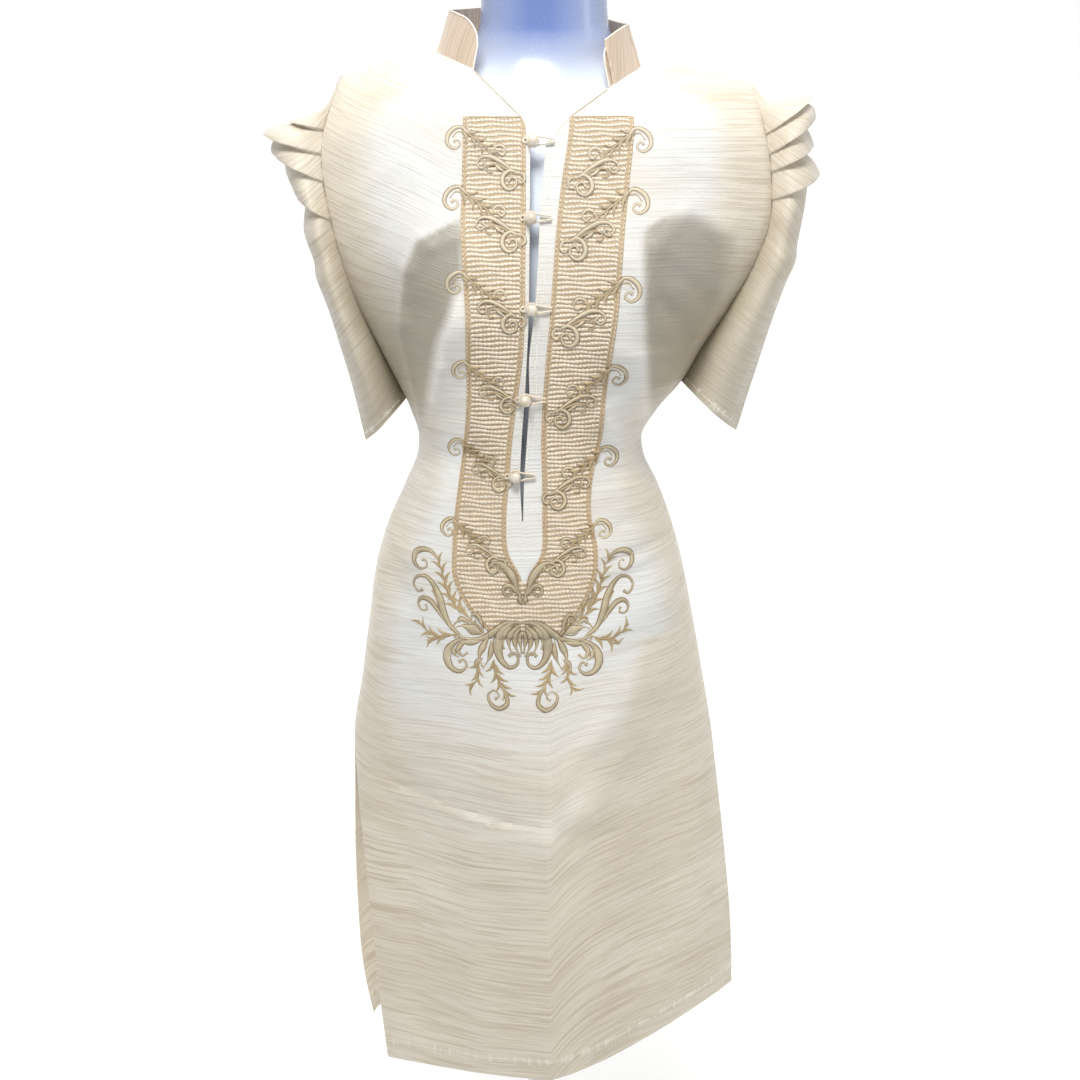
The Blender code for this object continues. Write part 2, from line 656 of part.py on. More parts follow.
def build_front(cloth, laid, strip):
    """The front with its opening, the strips beside it and the embroidered panel on it."""
    grid = front_grid()
    rows = np.array(FRONT_ROWS_Z)
    cell_z = (rows[:-1] + rows[1:]) / 2
    gap = len(SIDE_SHARES) + 4
    normals = grid_normals(grid, (0.0, -1.0, 0.0))
    shoulder = [line for line in range(grid.shape[1]) if abs(grid[-1, line, 1]) < 0.004]
    turned = turn_seams(normals.copy(), shoulder)
    moved = shifted(grid, (0.0, -SEAM_GAP / 2, 0.0))
    keep = np.ones((grid.shape[0] - 1, grid.shape[1] - 1), bool)
    keep[cell_z > SLIT_END_Z, gap] = False
    sheet("front", moved, turned, CLOTH, cloth, keep)

    lift = LAID_CLOTH + SEAM_GAP
    yoke = np.zeros_like(keep)
    yoke[cell_z > YOKE_END_Z, gap - 4 : gap - 1] = True
    yoke[cell_z > YOKE_END_Z, gap + 2 : gap + 5] = True
    yoke[(cell_z > YOKE_END_Z) & (cell_z < YOKE_JOIN_Z), gap - 4 : gap + 5] = True
    yoke[cell_z > YOKE_TOP_Z] = False
    sheet("embroidered_panel", moved, turned, LAID_CLOTH, laid, yoke, lift, LAID_INSET)
    left = np.zeros_like(keep)
    left[cell_z > YOKE_JOIN_Z, gap - 1] = True
    sheet("placket_left", moved, turned, LAID_CLOTH, strip, left, lift, LAID_INSET)
    right = np.zeros_like(keep)
    right[cell_z > YOKE_JOIN_Z, gap + 1] = True
    right[(cell_z > YOKE_JOIN_Z) & (cell_z < SLIT_END_Z), gap] = True
    sheet("placket_right", moved, turned, LAID_CLOTH, strip, right, lift, LAID_INSET)


def build_back(cloth):
    """The back, from its neckline to the hem."""
    grid = back_grid()
    normals = grid_normals(grid, (0.0, 1.0, 0.0))
    shoulder = [line for line in range(grid.shape[1]) if abs(grid[-1, line, 1]) < 0.004]
    turned = turn_seams(normals, shoulder)
    sheet("back", shifted(grid, (0.0, SEAM_GAP / 2, 0.0)), turned, CLOTH, cloth)


def on_edge(grid, line, z):
    """The point at height z on one of the outer lines of a grid."""
    edge = grid[:, line]
    return [float(np.interp(z, edge[:, 2], edge[:, axis])) for axis in (0, 1)]


def sleeve_grid(table, side):
    """Points of a sleeve's outer side: each row runs from front armhole to back armhole."""
    front_side = front_grid()
    back_side = back_grid()
    edge = 0 if side < 0 else -1
    reaches = list(SLEEVE_REACH) + list(SLEEVE_REACH[-2::-1])
    last = len(SLEEVE_REACH) - 1
    rows = table[1:]
    grid = np.zeros((len(rows), len(reaches), 3))
    for row, (arm_z, out_x, out_z, step) in enumerate(rows):
        down = row / (len(rows) - 1)
        belly = SLEEVE_BELLY_TOP + (SLEEVE_BELLY_HEM - SLEEVE_BELLY_TOP) * down**1.5
        front_x, front = on_edge(front_side, edge, arm_z)
        back_x, back = on_edge(back_side, edge, arm_z)
        for line, reach in enumerate(reaches):
            at_front = line <= last
            arm_x = (front_x if at_front else back_x) + side * ARM_GAP
            arm_y = min(front, -0.004) if at_front else max(back, 0.004)
            round_off = math.sqrt(max(1.0 - reach**2, 0.0))
            swell = belly * math.sin(math.pi * reach) * (-1.0 if at_front else 1.0)
            y = arm_y * round_off + swell * min(1.0, 12.0 * down)
            x = arm_x + reach * (out_x - arm_x)
            z = arm_z + reach * (out_z - arm_z)
            push = step * (0.35 + 0.65 * math.sin(math.pi * min(reach, 0.75)))
            x += side * push * reach
            y += push * round_off * (-1.0 if at_front else 1.0)
            grid[row, line] = (x, y, z)
    return grid


def build_sleeve(name, table, side, cloth):
    """One sleeve, pleated at its head and open at its hem."""
    grid = sleeve_grid(table, side)
    normals = grid_normals(grid, (side, 0.0, 0.0))
    normals[:, 0] = (0.0, -1.0, 0.0)
    normals[:, -1] = (0.0, 1.0, 0.0)
    sheet(name, grid, normals, SLEEVE_CLOTH, cloth)


def collar_path():
    """The seam of the collar, from its left front end round the back to its right one."""
    front = front_grid()[-1]
    back = back_grid()[-1]
    corner = len(SIDE_SHARES) - 2
    left_end = [np.interp(COLLAR_END_LEFT_X, front[:, 0], front[:, axis]) for axis in range(3)]
    right_end = [np.interp(COLLAR_END_RIGHT_X, front[:, 0], front[:, axis]) for axis in range(3)]
    left = [point for point in front[corner + 1 :] if point[0] < COLLAR_END_LEFT_X]
    right_part = front[: -len(RIGHT_SIDE_SHARES)]
    right = [point for point in right_part if point[0] > COLLAR_END_RIGHT_X]
    round_back = list(back[NECK_LINE : -NECK_LINE])
    corners = [left_end] + left[::-1] + round_back + right[::-1] + [right_end]
    path = [corners[0]]
    for start, end in zip(corners[:-1], corners[1:]):
        path.append((np.array(start) + np.array(end)) / 2)
        path.append(end)
    return np.array(path)


def build_collar(cloth):
    """The stand collar, leaning in toward the neck, with rounded front corners."""
    path = collar_path()
    steps = np.linalg.norm(np.diff(path, axis=0), axis=1)
    along = np.concatenate([[0.0], np.cumsum(steps)])
    from_end = np.minimum(along, along[-1] - along)
    corner = np.clip(from_end / COLLAR_CORNER, 0.0, 1.0)
    rise = COLLAR_HEIGHT - COLLAR_FRONT_HEIGHT
    heights = COLLAR_FRONT_HEIGHT + rise * np.sqrt(1.0 - (1.0 - corner) ** 2)
    grid = np.zeros((5, len(path), 3))
    for row, share in enumerate(np.linspace(0.0, 1.0, 5)):
        for line, (x, y, z) in enumerate(path):
            inward = np.array((-x, -0.25 * y)) / abs(path[0, 0])
            lean = COLLAR_LEAN * heights[line] * share
            grid[row, line, :2] = (x, y) + inward * lean * 0.65
            grid[row, line, 2] = z + SEAM_GAP + heights[line] * share
    sheet("collar", grid, grid_normals(grid, (0.0, 1.0, 0.0)), CLOTH, cloth)


def build_buttons(pearl, cord):
    """Five pearl buttons, each in a cord loop from the other side of the opening."""
    leg = LOOP_CORD * 1.35
    turns = np.linspace(0.28 * math.pi, 1.72 * math.pi, 11)
    for index, (x, z) in enumerate(BUTTONS[1:]):
        bend = [(x + BUTTON_RADIUS * math.cos(t), z + BUTTON_RADIUS * math.sin(t)) for t in turns]
        ends = [(x + LOOP_REACH, z + leg), (x + LOOP_REACH, z - leg)]
        outline = np.array(ends[:1] + bend + ends[1:])
        cloth_y = front_y(outline[:, 0], outline[:, 1]).min() - LAID_CLOTH - LOOP_LIFT
        path = [(px, cloth_y - LOOP_CORD, pz) for px, pz in outline]
        tube(f"loop_{index + 1}", path, LOOP_CORD, 6, cord)
        ball_y = cloth_y - BUTTON_RADIUS - SEAM_GAP
        bpy.ops.mesh.primitive_uv_sphere_add(
            segments=12, ring_count=7, radius=BUTTON_RADIUS, location=(x, ball_y, z)
        )
        ball = bpy.context.object
        ball.name = f"button_{index + 1}"
        ball.data.materials.append(pearl)


def build_form(plastic, steel):
    """The torso with its neck, the pole under it and the round base."""
    rings = []
    for z, mid_x, half_width, front, back in FORM[1:]:
        ring = []
        for side in range(FORM_SIDES):
            turn = 2 * math.pi * side / FORM_SIDES
            wide = abs(math.cos(turn)) ** (2 / FORM_SQUARE) * math.copysign(1, math.cos(turn))
            deep = abs(math.sin(turn)) ** (2 / FORM_SQUARE)
            y = deep * (back if math.sin(turn) > 0 else front)
            ring.append((mid_x + half_width * wide, y, z + FORM_LIFT))
        rings.append(ring)
    stacked_rings("dress_form", rings, plastic)
    foot = FORM[-1][0] + FORM_LIFT
    pole = [
        round_ring(POLE_RADIUS, BASE_HEIGHT + SEAM_GAP, 20),
        round_ring(POLE_RADIUS, foot - SEAM_GAP, 20),
    ]
    stacked_rings("stand_pole", pole, steel)
    base = [
        round_ring(BASE_RADIUS, 0.0, 48),
        round_ring(BASE_RADIUS, BASE_HEIGHT - BASE_EDGE, 48),
        round_ring(BASE_RADIUS - 0.3 * BASE_EDGE, BASE_HEIGHT - 0.3 * BASE_EDGE, 48),
        round_ring(BASE_RADIUS - BASE_EDGE, BASE_HEIGHT, 48),
    ]
    stacked_rings("stand_base", base, steel)


def main():
    for obj in list(bpy.data.objects):
        bpy.data.objects.remove(obj)
    cloth = material("ivory_cloth", IVORY, 0.55)
    laid = material("embroidered_cream", CREAM, 0.65)
    collar = material("collar_cloth", COLLAR_TAN, 0.6)
    pearl = material("pearl", PEARL, 0.2)
    plastic = material("form_plastic", FORM_WHITE, 0.3)
    steel = material("stand_steel", STEEL, 0.3, 1.0)
    build_front(cloth, laid, cloth)
    build_back(cloth)
    build_sleeve("sleeve_left", SLEEVE_LEFT, -1, cloth)
    build_sleeve("sleeve_right", SLEEVE_RIGHT, 1, cloth)
    build_collar(collar)
    build_buttons(pearl, laid)
    build_form(plastic, steel)


main()
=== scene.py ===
"""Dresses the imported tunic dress: cloth, embroidery, stitching, pearls, form and studio.

Metres, +Z up. The front faces -Y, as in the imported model.
"""

import math

import bpy
import numpy as np
from bpy.props import FloatProperty, FloatVectorProperty
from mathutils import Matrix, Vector


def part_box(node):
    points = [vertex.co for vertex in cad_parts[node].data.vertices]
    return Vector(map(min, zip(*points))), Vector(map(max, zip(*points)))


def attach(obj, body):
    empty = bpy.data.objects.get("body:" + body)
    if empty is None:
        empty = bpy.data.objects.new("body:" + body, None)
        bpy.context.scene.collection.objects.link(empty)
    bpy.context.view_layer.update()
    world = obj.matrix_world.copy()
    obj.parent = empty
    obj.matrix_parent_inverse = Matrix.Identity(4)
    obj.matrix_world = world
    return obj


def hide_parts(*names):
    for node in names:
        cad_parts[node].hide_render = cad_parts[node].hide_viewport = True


bl_info = {
    "name": "Pleated tunic dress",
    "version": (1, 0, 0),
    "blender": (4, 5, 0),
    "location": "3D View > Sidebar > Dress",
    "description": "Cloth, embroidery and studio for an ivory tunic dress on a dress form",
    "category": "Object",
}

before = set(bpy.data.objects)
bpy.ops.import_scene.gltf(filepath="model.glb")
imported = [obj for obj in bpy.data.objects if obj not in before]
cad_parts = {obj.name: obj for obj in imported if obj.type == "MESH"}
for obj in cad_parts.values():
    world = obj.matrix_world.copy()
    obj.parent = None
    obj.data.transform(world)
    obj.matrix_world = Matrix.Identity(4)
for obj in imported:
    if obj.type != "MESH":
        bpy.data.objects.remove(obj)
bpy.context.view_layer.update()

# Heights of the dress
HEM_Z = 0.305
NECK_Z = 1.260
LEVEL_BOTTOM_Z = 0.600
LEVEL_TOP_Z = 1.100
SLIT_END_Z = 0.842
STRIP_END_Z = 0.784
YOKE_END_Z = 0.732
PANEL_TOP_Z = 1.2205
SHOULDER_ROLL = 0.070
SIDE_SLIT_Z = 0.640

# Cloth and trims
SEAM_GAP = 0.0003
ARM_GAP = 0.0001
LAID_CLOTH = 0.0005
LAID_TOP = LAID_CLOTH + SEAM_GAP
HEM_FOLD = 0.0170
SLEEVE_HEM_FOLD = 0.0060
ROW_STEP = 0.0045
PANEL_ROW_STEP = 0.0030
EDGE_ROUNDS = 5

# How much deeper a crease is than its table says, and how near an edge it fades
CREASE_DEPTH = 1.5
EDGE_FADE = 0.15

# Collar
COLLAR_HEIGHT = 0.040
COLLAR_FRONT_HEIGHT = 0.022
COLLAR_CORNER = 0.034
COLLAR_LEAN = 0.30
COLLAR_ROWS = 13
COLLAR_STEP = 0.003
COLLAR_WAVE = 0.0012
COLLAR_SUNK = 0.0004
COLLAR_CLOTH = 0.0011
COLLAR_PIPING = 0.0017
COLLAR_END_LEFT_X = -0.0625
COLLAR_END_RIGHT_X = 0.0645

# Buttons and loops
BUTTON_RADIUS = 0.0055
PEARL_RINGS = 20
PEARL_SIDES = 32
PEARL_DIMPLE = 0.012
LOOP_REACH = 0.0190
LOOP_LEG = 0.00135
LOOP_CORD = 0.0020
KNOT_CORD = 0.0022
KNOT = (
    ("x", "z"),
    (-0.0035, 0.001),
    (-0.0085, 0.002),
    (-0.0095, 0.000),
    (-0.0085, -0.002),
    (-0.0035, -0.001),
)

# Dress form and stand
FORM_SIDES = 96
FORM_LIFT = 0.0016
FORM_SQUARE = 2.2
FORM_FOOT = 0.006
FORM_NECK = 0.003
FORM_END_SHRINK = 0.05
POLE_RADIUS = 0.0125
BASE_RADIUS = 0.150
BASE_HEIGHT = 0.018
BASE_EDGE = 0.004
BASE_BEVEL = 0.001
FERRULE = (
    ("radius", "above_base"),
    (0.0128, 0.0004),
    (0.0240, 0.0004),
    (0.0240, 0.0040),
    (0.0225, 0.0060),
    (0.0165, 0.0100),
    (0.0165, 0.0290),
    (0.0155, 0.0300),
    (0.0128, 0.0300),
)

# Camera at the photograph's angle
CAMERA_PLACE = (0.0, -2.17, 1.26)
CAMERA_TILT = 12.0
CAMERA_LENS = 73.33
CAMERA_SENSOR = 36.0

# Studio
BACKDROP_Y = 3.4
BACKDROP_BEND = 1.6
BACKDROP_REACH = 9.0
BACKDROP_TOP = 7.0
LAMPS = (
    ("name", "place", "aim", "size", "power", "spread", "colour"),
    ("key", (-0.24, -1.6, 2.9), (0.0, 0.0, 1.10), (0.9, 0.7), 7.6, 66.0, (1.0, 0.985, 0.96)),
    ("side", (2.4, -0.9, 1.7), (0.0, 0.0, 1.0), (0.7, 1.4), 3.2, 120.0, (1.0, 0.96, 0.90)),
    ("inside", (-0.04, -0.11, 0.5), (-0.18, 0.0, 0.5), (0.04, 0.36), 0.16, 180.0, (1.0, 0.97, 0.92)),
    ("wall", (0.0, 1.3, 4.4), (0.0, 3.4, 1.2), (4.0, 0.8), 125.0, 180.0, (1.0, 1.0, 1.0)),
)

# Outline of the body: the edges of the front and back at each height.
BODY = (
    ("z", "left_x", "mid_x", "right_x"),
    (0.290, -0.153, 0.0136, 0.199),
    (0.340, -0.160, 0.0121, 0.199),
    (0.400, -0.167, 0.0094, 0.197),
    (0.480, -0.177, 0.0059, 0.190),
    (0.550, -0.186, 0.0027, 0.182),
    (0.600, -0.190, 0.0010, 0.176),
    (0.660, -0.181, 0.0000, 0.166),
    (0.720, -0.173, -0.0065, 0.155),
    (0.780, -0.164, -0.0133, 0.143),
    (0.820, -0.152, -0.0158, 0.132),
    (0.860, -0.134, -0.0171, 0.117),
    (0.890, -0.122, -0.0163, 0.103),
    (0.910, -0.121, -0.0154, 0.102),
    (0.935, -0.129, -0.0138, 0.117),
    (0.960, -0.139, -0.0119, 0.137),
    (1.000, -0.156, -0.0097, 0.158),
    (1.040, -0.174, -0.0073, 0.182),
    (1.080, -0.188, -0.0061, 0.204),
    (1.120, -0.198, -0.0043, 0.218),
    (1.160, -0.205, -0.0033, 0.219),
    (1.200, -0.206, -0.0028, 0.214),
    (1.240, -0.195, -0.0028, 0.205),
    (1.280, -0.183, -0.0028, 0.196),
)

# Depth of the front, and how square its section is: a low power makes a ridge at the middle.
FRONT = (
    ("z", "mid_y", "left_y", "right_y", "left_power", "left_round", "right_power", "right_round"),
    (0.290, -0.190, -0.112, -0.030, 1.25, 1.00, 1.35, 1.00),
    (0.400, -0.180, -0.085, -0.022, 1.25, 1.00, 1.40, 1.10),
    (0.500, -0.168, -0.050, -0.012, 1.35, 1.10, 1.50, 1.20),
    (0.600, -0.155, -0.004, -0.002, 1.60, 1.40, 1.60, 1.40),
    (0.660, -0.145, 0.000, 0.000, 1.80, 1.60, 1.80, 1.60),
    (0.720, -0.134, 0.000, 0.000, 1.90, 1.80, 1.90, 1.80),
    (0.780, -0.125, 0.000, 0.000, 2.00, 2.00, 2.00, 2.00),
    (0.840, -0.118, 0.000, 0.000, 2.00, 2.00, 2.00, 2.00),
    (0.900, -0.115, 0.000, 0.000, 2.10, 2.00, 2.10, 2.00),
    (0.940, -0.121, 0.000, 0.000, 2.20, 1.90, 2.20, 1.90),
    (0.960, -0.125, -0.018, -0.016, 2.20, 1.70, 2.20, 1.70),
    (1.000, -0.133, -0.042, -0.040, 2.20, 1.45, 2.20, 1.45),
    (1.040, -0.139, -0.054, -0.054, 2.20, 1.25, 2.20, 1.25),
    (1.080, -0.140, -0.060, -0.060, 2.20, 1.20, 2.20, 1.20),
    (1.160, -0.129, -0.060, -0.060, 2.20, 1.20, 2.20, 1.20),
    (1.200, -0.120, -0.058, -0.058, 2.20, 1.20, 2.20, 1.20),
    (1.240, -0.108, -0.054, -0.054, 2.20, 1.20, 2.20, 1.20),
    (1.290, -0.092, -0.050, -0.050, 2.20, 1.20, 2.20, 1.20),
)

# The back, whose left edge stands free of the front below the top of the side slit.
BACK = (
    ("z", "left_x", "mid_y", "edge_y", "power", "round"),
    (0.280, -0.174, 0.128, 0.000, 2.00, 1.50),
    (0.330, -0.184, 0.126, 0.000, 2.00, 1.50),
    (0.430, -0.191, 0.124, 0.000, 2.00, 1.60),
    (0.550, -0.191, 0.122, 0.000, 2.00, 1.70),
    (0.600, -0.190, 0.122, 0.000, 2.00, 1.80),
    (0.660, -0.181, 0.124, 0.000, 2.00, 1.90),
    (0.780, -0.164, 0.124, 0.000, 2.00, 2.00),
    (0.840, -0.143, 0.112, 0.000, 2.00, 2.00),
    (0.900, -0.121, 0.096, 0.000, 2.10, 2.00),
    (0.940, -0.131, 0.096, 0.000, 2.20, 1.90),
    (0.960, -0.139, 0.098, 0.016, 2.20, 1.70),
    (1.000, -0.156, 0.101, 0.036, 2.20, 1.45),
    (1.080, -0.188, 0.107, 0.050, 2.20, 1.20),
    (1.160, -0.205, 0.112, 0.054, 2.20, 1.20),
    (1.200, -0.206, 0.110, 0.054, 2.20, 1.20),
    (1.240, -0.195, 0.102, 0.052, 2.20, 1.20),
    (1.290, -0.180, 0.090, 0.050, 2.20, 1.20),
)

# Lines down the front that the opening, its strips and the embroidered panel follow.
LINES = (
    ("z", "left_outer", "left_inner", "left_gap", "right_gap", "right_inner", "right_outer"),
    (0.290, -0.078, -0.018, 0.0121, 0.0151, 0.0450, 0.108),
    (0.450, -0.082, -0.022, 0.0055, 0.0085, 0.0360, 0.092),
    (0.600, -0.078, -0.024, -0.0005, 0.0025, 0.0250, 0.070),
    (0.660, -0.066, -0.023, -0.0015, 0.0015, 0.0180, 0.054),
    (0.700, -0.054, -0.022, -0.0060, -0.0030, 0.0100, 0.036),
    (0.732, -0.047, -0.022, -0.0105, -0.0075, 0.0020, 0.021),
    (0.755, -0.067, -0.024, -0.0128, -0.0098, 0.0000, 0.039),
    (0.784, -0.083, -0.0172, -0.0150, -0.0138, -0.0115, 0.053),
    (0.812, -0.084, -0.030, -0.0168, -0.0156, 0.0010, 0.055),
    (0.842, -0.082, -0.032, -0.0172, -0.0160, 0.0019, 0.049),
    (0.880, -0.077, -0.029, -0.0188, -0.0150, 0.0018, 0.050),
    (0.920, -0.072, -0.026, -0.0173, -0.0124, 0.0010, 0.059),
    (0.960, -0.069, -0.021, -0.0144, -0.0100, 0.0026, 0.062),
    (1.000, -0.069, -0.016, -0.0122, -0.0100, 0.0056, 0.067),
    (1.040, -0.069, -0.014, -0.0104, -0.0055, 0.0093, 0.072),
    (1.080, -0.071, -0.0135, -0.0099, -0.0024, 0.0120, 0.075),
    (1.120, -0.073, -0.0130, -0.0095, -0.0005, 0.0150, 0.078),
    (1.160, -0.072, -0.0128, -0.0092, 0.0022, 0.0194, 0.082),
    (1.200, -0.071, -0.0128, -0.0091, 0.0054, 0.0255, 0.086),
    (1.260, -0.071, -0.0150, -0.0091, 0.0055, 0.0290, 0.087),
)

# Top edge of the front across its width: shoulder, neckline, opening, neckline, shoulder.
FRONT_TOP = (
    ("x", "z"),
    (-0.206, 1.2450),
    (-0.188, 1.2585),
    (-0.150, 1.2710),
    (-0.128, 1.2780),
    (-0.100, 1.2792),
    (-0.080, 1.2710),
    (-0.0625, 1.2631),
    (-0.048, 1.2500),
    (-0.030, 1.2330),
    (-0.015, 1.2190),
    (-0.009, 1.2020),
    (0.0055, 1.1960),
    (0.028, 1.2215),
    (0.046, 1.2340),
    (0.0645, 1.2466),
    (0.080, 1.2570),
    (0.0964, 1.2660),
    (0.114, 1.2700),
    (0.136, 1.2675),
    (0.181, 1.2570),
    (0.203, 1.2500),
    (0.220, 1.2380),
)

# Heights where the shoulder would roll over to Y = 0, in front and at the back.
ROLL = (
    ("x", "front_z", "back_z", "back_top_z"),
    (-0.206, 1.2450, 1.2450, 1.2450),
    (-0.188, 1.2585, 1.2585, 1.2585),
    (-0.150, 1.2710, 1.2710, 1.2710),
    (-0.128, 1.2780, 1.2780, 1.2780),
    (-0.100, 1.2792, 1.2792, 1.2792),
    (-0.0625, 1.2860, 1.2970, 1.2830),
    (0.000, 1.3000, 1.3100, 1.2870),
    (0.0645, 1.2720, 1.2880, 1.2740),
    (0.0964, 1.2660, 1.2660, 1.2660),
    (0.114, 1.2700, 1.2700, 1.2700),
    (0.136, 1.2675, 1.2675, 1.2675),
    (0.181, 1.2570, 1.2570, 1.2570),
    (0.203, 1.2500, 1.2500, 1.2500),
    (0.220, 1.2380, 1.2380, 1.2380),
)

# Hem height across the width.
HEM = (
    ("x", "front_z", "back_z"),
    (-0.190, 0.2890, 0.2890),
    (-0.153, 0.2910, 0.2900),
    (-0.070, 0.2960, 0.2940),
    (0.014, 0.3030, 0.3000),
    (0.100, 0.3170, 0.3100),
    (0.199, 0.3360, 0.3350),
)

# Large folds of the front: from one point to another, how wide, and how far out.
FOLDS = (
    ("x1", "z1", "x2", "z2", "width", "out"),
    (-0.092, 1.085, -0.086, 1.035, 0.046, 0.015),
    (0.090, 1.085, 0.084, 1.035, 0.046, 0.015),
    (-0.078, 1.030, -0.112, 0.925, 0.016, 0.006),
    (-0.112, 1.040, -0.122, 0.965, 0.016, -0.006),
    (0.078, 1.000, 0.135, 0.970, 0.017, 0.006),
    (0.072, 0.965, 0.115, 0.915, 0.016, -0.005),
    (0.066, 0.935, 0.095, 0.890, 0.015, 0.005),
    (-0.060, 0.905, -0.112, 0.885, 0.014, -0.004),
    (-0.098, 0.860, -0.130, 0.800, 0.016, 0.004),
    (-0.160, 0.790, -0.132, 0.764, 0.014, -0.005),
    (0.062, 0.780, 0.130, 0.796, 0.015, -0.005),
    (0.070, 0.740, 0.128, 0.752, 0.018, 0.004),
    (0.086, 0.670, 0.040, 0.570, 0.026, 0.008),
    (0.040, 0.570, 0.010, 0.530, 0.022, 0.006),
    (0.125, 0.640, 0.110, 0.420, 0.030, -0.007),
    (-0.155, 0.575, -0.004, 0.556, 0.014, -0.003),
    (-0.120, 0.540, -0.105, 0.350, 0.030, -0.005),
)

# Soft hanging folds of the back.
BACK_FOLDS = (
    ("x1", "z1", "x2", "z2", "width", "out"),
    (-0.110, 0.640, -0.120, 0.330, 0.026, -0.009),
    (-0.040, 0.610, -0.045, 0.330, 0.026, 0.008),
    (0.030, 0.630, 0.036, 0.340, 0.026, -0.008),
    (0.105, 0.640, 0.118, 0.350, 0.028, 0.008),
    (-0.080, 0.925, 0.060, 0.915, 0.016, -0.005),
    (-0.060, 0.880, 0.080, 0.885, 0.015, 0.004),
    (-0.120, 1.120, -0.070, 1.010, 0.022, 0.006),
    (0.125, 1.120, 0.075, 1.010, 0.022, 0.006),
)

# Main creases of the front, finer than the large folds.
CREASES = (
    ("x1", "z1", "x2", "z2", "width", "out"),
    (-0.150, 0.566, -0.006, 0.548, 0.0035, -0.0018),
    (-0.150, 0.559, -0.010, 0.541, 0.0040, 0.0016),
    (0.014, 0.545, 0.070, 0.536, 0.0040, -0.0008),
    (0.083, 0.618, 0.050, 0.560, 0.0060, 0.0018),
    (0.050, 0.560, 0.036, 0.520, 0.0060, 0.0014),
    (0.036, 0.520, 0.006, 0.497, 0.0070, 0.0012),
    (0.066, 0.592, 0.030, 0.522, 0.0050, -0.0014),
    (0.064, 0.797, 0.128, 0.812, 0.0050, -0.0022),
    (0.060, 0.788, 0.124, 0.800, 0.0060, 0.0016),
    (0.056, 0.822, 0.112, 0.846, 0.0050, -0.0012),
    (-0.150, 0.800, -0.126, 0.782, 0.0050, -0.0016),
    (-0.148, 0.808, -0.118, 0.795, 0.0050, 0.0012),
    (-0.158, 0.752, -0.128, 0.748, 0.0045, -0.0010),
    (-0.078, 1.050, -0.094, 0.988, 0.0060, 0.0022),
    (-0.094, 0.988, -0.104, 0.950, 0.0060, 0.0024),
    (-0.104, 0.950, -0.114, 0.920, 0.0050, 0.0018),
    (-0.080, 1.112, -0.104, 1.104, 0.0080, 0.0022),
    (-0.104, 1.104, -0.122, 1.080, 0.0080, 0.0026),
    (-0.122, 1.080, -0.129, 1.030, 0.0080, 0.0024),
    (-0.129, 1.030, -0.114, 0.955, 0.0070, 0.0016),
    (0.094, 1.050, 0.108, 1.104, 0.0080, 0.0018),
    (0.108, 1.104, 0.136, 1.136, 0.0090, 0.0018),
    (0.136, 1.136, 0.176, 1.116, 0.0090, 0.0014),
    (0.130, 1.060, 0.170, 1.010, 0.0090, 0.0020),
    (0.114, 1.050, 0.156, 0.996, 0.0080, -0.0020),
    (0.010, 0.560, 0.046, 0.610, 0.0150, -0.0026),
    (0.022, 0.590, 0.060, 0.640, 0.0120, 0.0022),
    (0.090, 1.110, 0.120, 1.040, 0.0070, -0.0018),
    (0.086, 1.000, 0.148, 0.996, 0.0060, 0.0022),
    (0.080, 0.984, 0.140, 0.974, 0.0055, -0.0022),
    (0.074, 0.956, 0.124, 0.940, 0.0055, 0.0020),
    (0.066, 0.940, 0.112, 0.915, 0.0050, -0.0020),
    (0.062, 0.918, 0.098, 0.892, 0.0045, 0.0016),
    (0.118, 1.100, 0.168, 1.060, 0.0080, 0.0016),
    (0.130, 1.140, 0.176, 1.090, 0.0080, -0.0014),
    (0.120, 1.190, 0.190, 1.150, 0.0090, 0.0012),
    (-0.130, 1.180, -0.184, 1.140, 0.0090, 0.0012),
    (-0.120, 1.150, -0.170, 1.090, 0.0080, -0.0012),
    (-0.118, 0.905, -0.092, 0.898, 0.0040, -0.0014),
    (-0.118, 0.884, -0.086, 0.884, 0.0045, 0.0012),
    (0.072, 0.884, 0.102, 0.880, 0.0040, -0.0014),
    (0.062, 0.866, 0.108, 0.862, 0.0045, 0.0012),
    (0.0040, 0.680, 0.0100, 0.300, 0.0035, 0.0012),
    (0.0110, 0.680, 0.0180, 0.300, 0.0050, -0.0010),
    (-0.132, 0.500, -0.120, 0.330, 0.0100, -0.0016),
    (-0.070, 0.520, -0.058, 0.320, 0.0120, 0.0014),
    (0.090, 0.480, 0.098, 0.330, 0.0110, -0.0016),
    (0.150, 0.560, 0.158, 0.350, 0.0100, 0.0018),
    (0.060, 0.420, 0.064, 0.320, 0.0090, 0.0014),
    (-0.106, 0.720, -0.060, 0.690, 0.0080, -0.0010),
    (0.010, 0.700, 0.060, 0.710, 0.0080, 0.0010),
)

